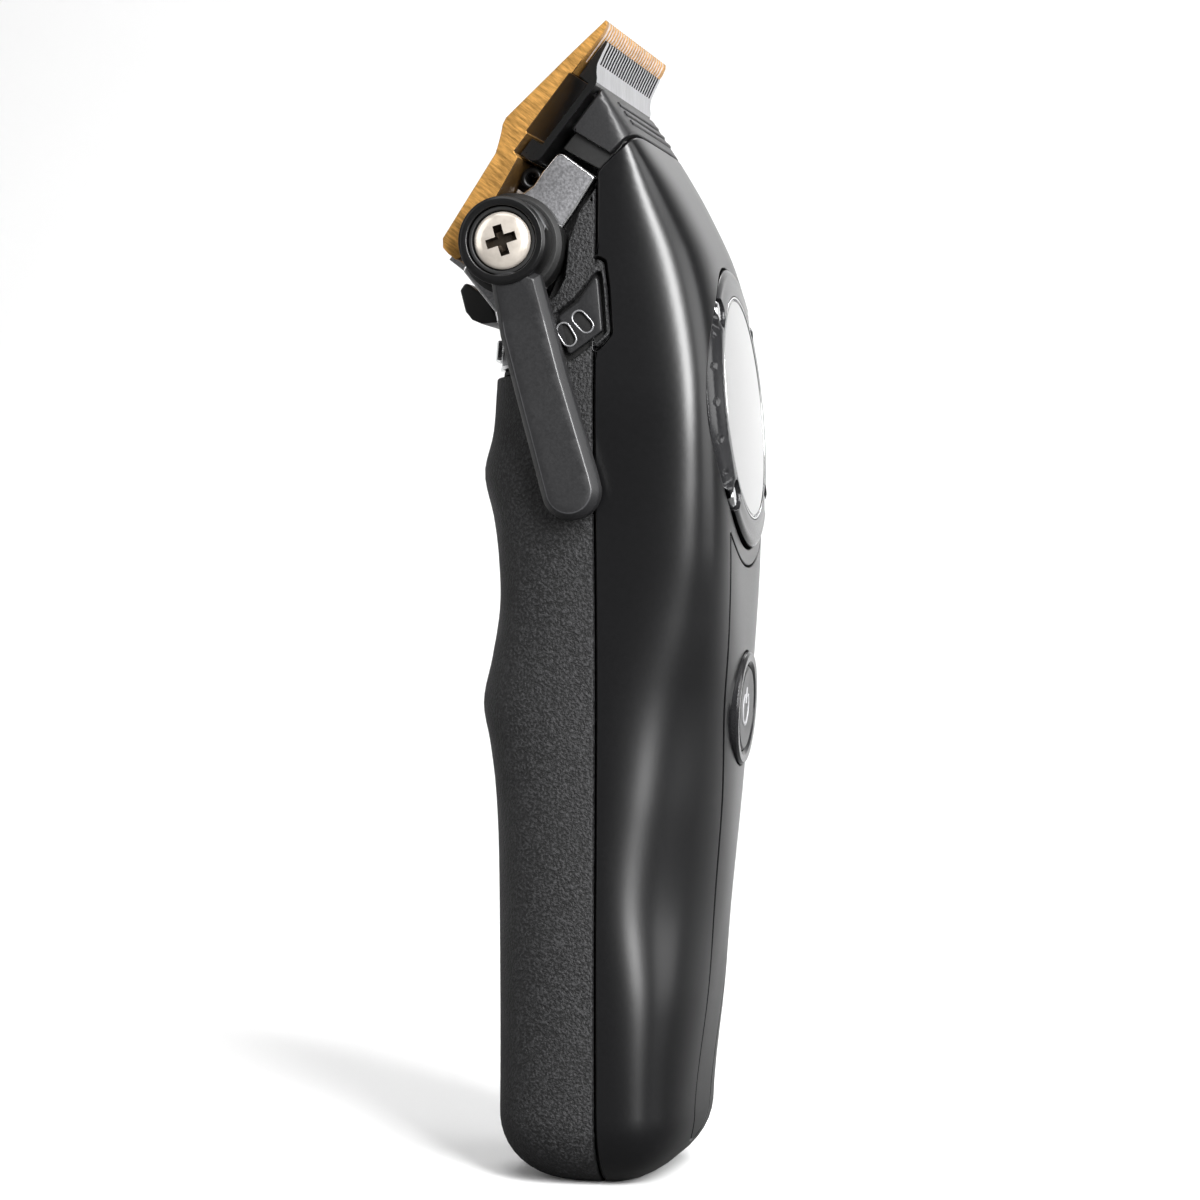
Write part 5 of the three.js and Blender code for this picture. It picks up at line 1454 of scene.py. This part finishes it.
def build_materials():
    c = colours()
    groups = {"grain": grain_group(), "brushed": brushed_group(), "dust": dust_group()}
    across_blade = (0, -BLADE_TILT, 0)
    shell, cover, trim, gold = (tuple(v) for v in (c.shell, c.cover, c.trim, c.gold))
    zinc, nickel = tuple(c.zinc), tuple(c.nickel)

    def make(name, *args, **options):
        return finish(name, groups, *args, **options)

    return {
        "shell": make("Gloss housing", shell, roughness=0.29, variation=0.02, bump=0.01, grain=1800,
                      bump_depth=0.002,
                      dust=0.0),
        "cover": make("Cover texture", cover, tuple(v * 6 for v in cover), roughness=0.62, variation=0.4,
                      bump=1.0,
                      bump_depth=0.25, grain=2600, spread=(0.45, 0.7), specular=0.4, dust=0.0),
        "panel": make("Panel gloss", shell, roughness=0.3, variation=0.05, bump=0.02, bump_depth=0.003),
        "trim": make("Trim satin", trim, tuple(v * 1.3 for v in trim), roughness=0.42, variation=0.12,
                     bump=0.25,
                     bump_depth=0.03, grain=3200),
        # Lighter trim for the lever's chamfer ridges: a painted highlight.
        "ridge": make("Trim edge painted sheen", tuple(v * 3.2 for v in trim), roughness=0.32, variation=0.1, bump=0.1,
                      grain=3200),
        "hub": make("Hub satin", tuple(v * 0.2 for v in trim), roughness=0.3, variation=0.08, bump=0.06,
                    grain=2600),
        "dark": make("Dark plastic", (0.006, 0.006, 0.006), roughness=0.5, variation=0.15, bump=0.2,
                     grain=2600),
        # Dark metal for the walls and floor of a screw's cross recess: painted shade.
        "recess_painted_shade": make("Recess painted shade", (0.09, 0.075, 0.06), metallic=1, roughness=0.35, variation=0.1,
                             bump=0.1),
        # Light metal for the rims round the detent marks: a painted highlight.
        "lit_rim": make("Recess rim painted highlight", (0.3, 0.3, 0.31), roughness=0.25, variation=0.1, bump=0.05,
                        metallic=0.6),
        "bezel": make("Ring gloss", (0.012, 0.012, 0.013), roughness=0.22, variation=0.05, bump=0.03),
        "lens": make("Display window", (0.004, 0.004, 0.005), roughness=0.04, variation=0.02, bump=0.0,
                     grain=60, dust=0,
                     coat=1.0, coat_roughness=0.02, ior=1.9),
        "cap": make("Cap satin", (0.01, 0.01, 0.011), roughness=0.34, variation=0.08, bump=0.08),
        "symbol": make("Symbol print", (0.35, 0.35, 0.36), roughness=0.45, variation=0.08, bump=0.05),
        "gold": make("Brushed gold", tuple(v * 0.62 for v in gold), tuple(min(v * 1.3, 1) for v in gold),
                     metallic=0.82,
                     roughness=0.46, variation=0.25, bump=0.35, bump_depth=0.03, lines=(500, 2600, 3200),
                     turn=across_blade, spread=(0.38, 0.62), dust=0),
        "coated": make("Black coated steel", (0.012, 0.012, 0.012), metallic=0.5, roughness=0.3,
                       variation=0.15,
                       bump=0.12, lines=(3000, 400, 3000), turn=across_blade, dust=0),
        "channel_painted_shade": make("Shaded gold", tuple(v * 0.1 for v in gold), tuple(v * 0.18 for v in gold),
                        metallic=0.5,
                        roughness=0.5, variation=0.2, bump=0.2, grain=2000),
        "slot_wall": make("Ground slot wall", (0.5, 0.42, 0.38), (0.7, 0.62, 0.58), metallic=0.7,
                          roughness=0.4,
                          variation=0.1, bump=0.1, grain=2000),
        "ground": make("Ground steel", (0.42, 0.42, 0.43), (0.62, 0.62, 0.64), metallic=1, roughness=0.36,
                       variation=0.15, bump=0.15, lines=(300, 3200, 300), turn=across_blade, dust=0),
        "steel": make("Bright steel", (0.5, 0.5, 0.51), (0.68, 0.68, 0.69), metallic=1, roughness=0.24,
                      variation=0.12,
                      bump=0.08, lines=(2600, 300, 2600), dust=0),
        "black_steel": make("Black spring steel", (0.02, 0.02, 0.02), metallic=0.8, roughness=0.35,
                            variation=0.1,
                            bump=0.05, dust=0),
        "zinc": make("Blasted zinc", zinc, tuple(v * 1.5 for v in zinc), metallic=0.85, roughness=0.5,
                     variation=0.25,
                     bump=0.5, bump_depth=0.06, grain=2600, spread=(0.35, 0.7)),
        "polished": make("Polished edge", (0.62, 0.62, 0.63), (0.8, 0.8, 0.8), metallic=1, roughness=0.18,
                         variation=0.1, bump=0.05, dust=0),
        "nickel": make("Plated nickel", tuple(v * 0.85 for v in nickel), nickel, metallic=0.55,
                       roughness=0.17,
                       variation=0.12, bump=0.06, grain=700, dust=0),
        "chrome": make("Chrome", (0.6, 0.6, 0.61), (0.75, 0.75, 0.76), metallic=1, roughness=0.1,
                       variation=0.05,
                       bump=0.02, dust=0),
        "rubber": make("Seal rubber", (0.005, 0.005, 0.005), roughness=0.75, variation=0.15, bump=0.2),
        "board": make("Circuit laminate", (0.012, 0.1, 0.035), (0.02, 0.16, 0.05), roughness=0.45,
                      variation=0.2,
                      bump=0.2, grain=900),
        "brass": make("Gold contact", (0.55, 0.36, 0.12), (0.75, 0.52, 0.2), metallic=1, roughness=0.28,
                      variation=0.15, bump=0.05, grain=1500, dust=0),
        "wrap": make("Cell wrap", (0.02, 0.09, 0.22), (0.03, 0.13, 0.3), roughness=0.35, variation=0.1,
                     bump=0.08,
                     grain=400),
        "bright_can": make("Motor can", (0.4, 0.4, 0.41), (0.56, 0.56, 0.57), metallic=1, roughness=0.32,
                           variation=0.2, bump=0.1, lines=(400, 400, 3000), dust=0),
    }


CARRIED_OVER = {
    "display_module": "board", "control_board": "board", "power_switch": "rubber", "motor_can": "bright_can",
    "motor_cap": "dark", "motor_mount": "rubber", "shaft_bearing": "brass", "motor_shaft": "steel",
    "eccentric_cam": "steel", "motor_screw_1": "steel", "motor_screw_2": "steel", "battery_cell": "wrap",
    "battery_cradle": "dark", "battery_terminal_1": "brass", "battery_terminal_2": "brass",
    "charge_contact_1": "brass", "charge_contact_2": "brass", "yoke_screw_1": "steel",
    "yoke_screw_2": "steel",
}


def finish_inner_pieces(m):
    """Gives the frame's own inner pieces their finishes."""
    for node, material in CARRIED_OVER.items():
        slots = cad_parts[node].data.materials
        slots.clear()
        slots.append(m[material])


# ---------------------------------------------------------------- studio

CAMERA = {"distance": 0.545, "azimuth": 11.3, "height": 0.0799, "lens": 116.1}


def area_light(name, azimuth, elevation, distance, size, power, aim=(0, 0, 0.08)):
    """Soft panel light; azimuth turns from -Y towards +X."""
    a, e = math.radians(azimuth), math.radians(elevation)
    light = bpy.data.lights.new(name, "AREA")
    light.shape = "RECTANGLE"
    light.size, light.size_y = size
    light.energy = power
    obj = bpy.data.objects.new(name, light)
    bpy.context.scene.collection.objects.link(obj)
    way = Vector((math.sin(a) * math.cos(e), -math.cos(a) * math.cos(e), math.sin(e)))
    obj.location = Vector(aim) + way * distance
    obj.rotation_euler = (-way).to_track_quat("-Z", "Y").to_euler()
    return obj


def build_stage():
    scene = bpy.context.scene
    scene.view_settings.view_transform = "Standard"
    camera = bpy.data.cameras.new("Studio camera")
    camera.lens = CAMERA["lens"]
    camera.sensor_width = 36
    camera.clip_start = 0.01
    view = bpy.data.objects.new("Studio camera", camera)
    scene.collection.objects.link(view)
    a = math.radians(CAMERA["azimuth"])
    view.location = (CAMERA["distance"] * math.sin(a), -CAMERA["distance"] * math.cos(a), CAMERA["height"])
    view.rotation_euler = (math.pi / 2, 0, a)
    scene.camera = view

    pale = bpy.data.materials.new("Pale backdrop")
    pale.use_nodes = True
    tree = pale.node_tree
    shader = tree.nodes["Principled BSDF"]
    spot = tree.nodes.new("ShaderNodeTexCoord").outputs["Object"]
    split = tree.nodes.new("ShaderNodeSeparateXYZ")
    tree.links.new(spot, split.inputs[0])
    # Pale to the camera, but dark to reflections and bounced light near the front, paler towards the back:
    # painted shade round the object.
    behind = tree.nodes.new("ShaderNodeMapRange")
    behind.inputs["From Min"].default_value, behind.inputs["From Max"].default_value = 0.0, 0.6
    behind.inputs["To Min"].default_value = 0.12
    tree.links.new(split.outputs["Y"], behind.inputs["Value"])
    seen = tree.nodes.new("ShaderNodeLightPath")
    share = math_node(tree, "MAXIMUM", seen.outputs["Is Camera Ray"], behind.outputs[0])
    shown = mix_colour(tree, share, (0.0, 0.0, 0.0), (0.94, 0.94, 0.94))
    tree.links.new(shown, shader.inputs["Base Color"])
    shader.inputs["Roughness"].default_value = 0.95
    shader.inputs["Specular IOR Level"].default_value = 0.0
    half, back, sweep = 3.0, 1.4, 0.7
    profile = [(-3.0, 0.0)] + [(back - sweep + sweep * math.sin(t), sweep - sweep * math.cos(t))
                               for t in np.linspace(0, math.pi / 2, 24)] + [(back, 3.2)]
    vertices = [(x, y, z) for y, z in profile for x in (-half, half)]
    faces = [(2 * i, 2 * i + 1, 2 * i + 3, 2 * i + 2) for i in range(len(profile) - 1)]
    sheet = new_object("studio_backdrop", vertices, faces, 60, scale=1)
    sheet.data.materials.append(pale)

    world = bpy.data.worlds.new("Studio world")
    world.use_nodes = True
    world.node_tree.nodes["Background"].inputs["Color"].default_value = (1, 1, 1, 1)
    paths = world.node_tree.nodes.new("ShaderNodeLightPath")
    seen = math_node(world.node_tree, "MULTIPLY", paths.outputs["Is Camera Ray"], 0.85)
    strength = math_node(world.node_tree, "MAXIMUM", seen, 0.1)
    world.node_tree.links.new(strength, world.node_tree.nodes["Background"].inputs["Strength"])
    scene.world = world

    area_light("Backdrop light left", 150, 55, 1.3, (1.6, 0.8), 26, (-0.5, 1.0, 0.2))
    area_light("Backdrop light right", -150, 55, 1.3, (1.6, 0.8), 26, (0.5, 1.0, 0.2))
    area_light("Strip light right", 33, 24, 1.0, (0.27, 0.9), 23.0)
    area_light("Soft light left", -62, 18, 1.0, (0.7, 1.0), 3.6)
    area_light("Top light", 0, 80, 1.1, (1.0, 0.8), 3.5)
    area_light("Soft light far right", 82, 10, 1.1, (0.7, 1.1), 9.0)


# ---------------------------------------------------------------- operators

_finishes = {}


def finishes():
    if not _finishes:
        _finishes.update(build_materials())
    return _finishes


class CLIPPER_OT_front_shell(bpy.types.Operator):
    """Build the semi-gloss front shell"""

    bl_idname = "clipper.front_shell"
    bl_label = "Front shell"
    bl_options = {"REGISTER"}

    def execute(self, context):
        build_front_shell(finishes())
        return {"FINISHED"}


class CLIPPER_OT_rear_cover(bpy.types.Operator):
    """Build the textured rear cover"""

    bl_idname = "clipper.rear_cover"
    bl_label = "Rear cover"
    bl_options = {"REGISTER"}

    def execute(self, context):
        build_rear_cover(finishes())
        return {"FINISHED"}


class CLIPPER_OT_front_panel(bpy.types.Operator):
    """Build the inlay on the front"""

    bl_idname = "clipper.front_panel"
    bl_label = "Front panel"
    bl_options = {"REGISTER"}

    def execute(self, context):
        build_front_panel(finishes())
        return {"FINISHED"}


class CLIPPER_OT_detent_plate(bpy.types.Operator):
    """Build the plate with the lever marks"""

    bl_idname = "clipper.detent_plate"
    bl_label = "Detent plate"
    bl_options = {"REGISTER"}

    def execute(self, context):
        build_detent_plate(finishes())
        return {"FINISHED"}


class CLIPPER_OT_nose_cover(bpy.types.Operator):
    """Build the hood under the cutter"""

    bl_idname = "clipper.nose_cover"
    bl_label = "Nose cover"
    bl_options = {"REGISTER"}

    def execute(self, context):
        build_nose_cover(finishes())
        return {"FINISHED"}


class CLIPPER_OT_neck(bpy.types.Operator):
    """Build the seal and the clip"""

    bl_idname = "clipper.neck"
    bl_label = "Neck"
    bl_options = {"REGISTER"}

    def execute(self, context):
        build_neck(finishes())
        return {"FINISHED"}


class CLIPPER_OT_head_frame(bpy.types.Operator):
    """Build the cast frame and the chin guard"""

    bl_idname = "clipper.head_frame"
    bl_label = "Head frame"
    bl_options = {"REGISTER"}

    def execute(self, context):
        build_head_frame(finishes())
        return {"FINISHED"}


class CLIPPER_OT_fixed_blade(bpy.types.Operator):
    """Build the gold blade, its slider and screws"""

    bl_idname = "clipper.fixed_blade"
    bl_label = "Fixed blade"
    bl_options = {"REGISTER"}

    def execute(self, context):
        build_fixed_blade(finishes())
        return {"FINISHED"}


class CLIPPER_OT_cutter(bpy.types.Operator):
    """Build the moving blade and its yoke"""

    bl_idname = "clipper.cutter"
    bl_label = "Cutter"
    bl_options = {"REGISTER"}

    def execute(self, context):
        build_cutter(finishes())
        return {"FINISHED"}


class CLIPPER_OT_tension_spring(bpy.types.Operator):
    """Build the coiled spring"""

    bl_idname = "clipper.tension_spring"
    bl_label = "Tension spring"
    bl_options = {"REGISTER"}

    def execute(self, context):
        build_tension_spring(finishes())
        return {"FINISHED"}


class CLIPPER_OT_lever(bpy.types.Operator):
    """Build the lever, its hub and screw"""

    bl_idname = "clipper.lever"
    bl_label = "Taper lever"
    bl_options = {"REGISTER"}

    def execute(self, context):
        build_lever(finishes())
        return {"FINISHED"}


class CLIPPER_OT_display(bpy.types.Operator):
    """Build the ring, the window and the studs"""

    bl_idname = "clipper.display"
    bl_label = "Display"
    bl_options = {"REGISTER"}

    def execute(self, context):
        build_display(finishes())
        return {"FINISHED"}


class CLIPPER_OT_button(bpy.types.Operator):
    """Build the ring and the cap"""

    bl_idname = "clipper.button"
    bl_label = "Power button"
    bl_options = {"REGISTER"}

    def execute(self, context):
        build_button(finishes())
        return {"FINISHED"}


class CLIPPER_OT_inner_pieces(bpy.types.Operator):
    """Finish the pieces inside"""

    bl_idname = "clipper.inner_pieces"
    bl_label = "Inner pieces"
    bl_options = {"REGISTER"}

    def execute(self, context):
        finish_inner_pieces(finishes())
        return {"FINISHED"}


class CLIPPER_OT_stage(bpy.types.Operator):
    """Build the backdrop, lights and camera"""

    bl_idname = "clipper.stage"
    bl_label = "Studio"
    bl_options = {"REGISTER"}

    def execute(self, context):
        build_stage()
        return {"FINISHED"}


STEPS = [
    CLIPPER_OT_front_shell,
    CLIPPER_OT_rear_cover,
    CLIPPER_OT_front_panel,
    CLIPPER_OT_detent_plate,
    CLIPPER_OT_nose_cover,
    CLIPPER_OT_neck,
    CLIPPER_OT_head_frame,
    CLIPPER_OT_fixed_blade,
    CLIPPER_OT_cutter,
    CLIPPER_OT_tension_spring,
    CLIPPER_OT_lever,
    CLIPPER_OT_display,
    CLIPPER_OT_button,
    CLIPPER_OT_inner_pieces,
    CLIPPER_OT_stage,
]


class CLIPPER_PT_build(bpy.types.Panel):
    """Builds the clipper piece by piece."""

    bl_label = "Hair Clipper"
    bl_idname = "CLIPPER_PT_build"
    bl_space_type = "VIEW_3D"
    bl_region_type = "UI"
    bl_category = "Clipper"

    def draw(self, context):
        for group in (context.scene.clipper_sizes, context.scene.clipper_colours):
            for name in group.__annotations__:
                self.layout.prop(group, name)
        for step in STEPS:
            self.layout.operator(step.bl_idname)


CLASSES = [ClipperSizes, ClipperColours, *STEPS, CLIPPER_PT_build]


def register():
    for cls in CLASSES:
        bpy.utils.register_class(cls)
    bpy.types.Scene.clipper_sizes = bpy.props.PointerProperty(type=ClipperSizes)
    bpy.types.Scene.clipper_colours = bpy.props.PointerProperty(type=ClipperColours)


def unregister():
    del bpy.types.Scene.clipper_colours
    del bpy.types.Scene.clipper_sizes
    for cls in reversed(CLASSES):
        bpy.utils.unregister_class(cls)


def main():
    register()
    for step in STEPS:
        getattr(bpy.ops.clipper, step.bl_idname.split(".")[1])()


if __name__ == "__main__":
    main()
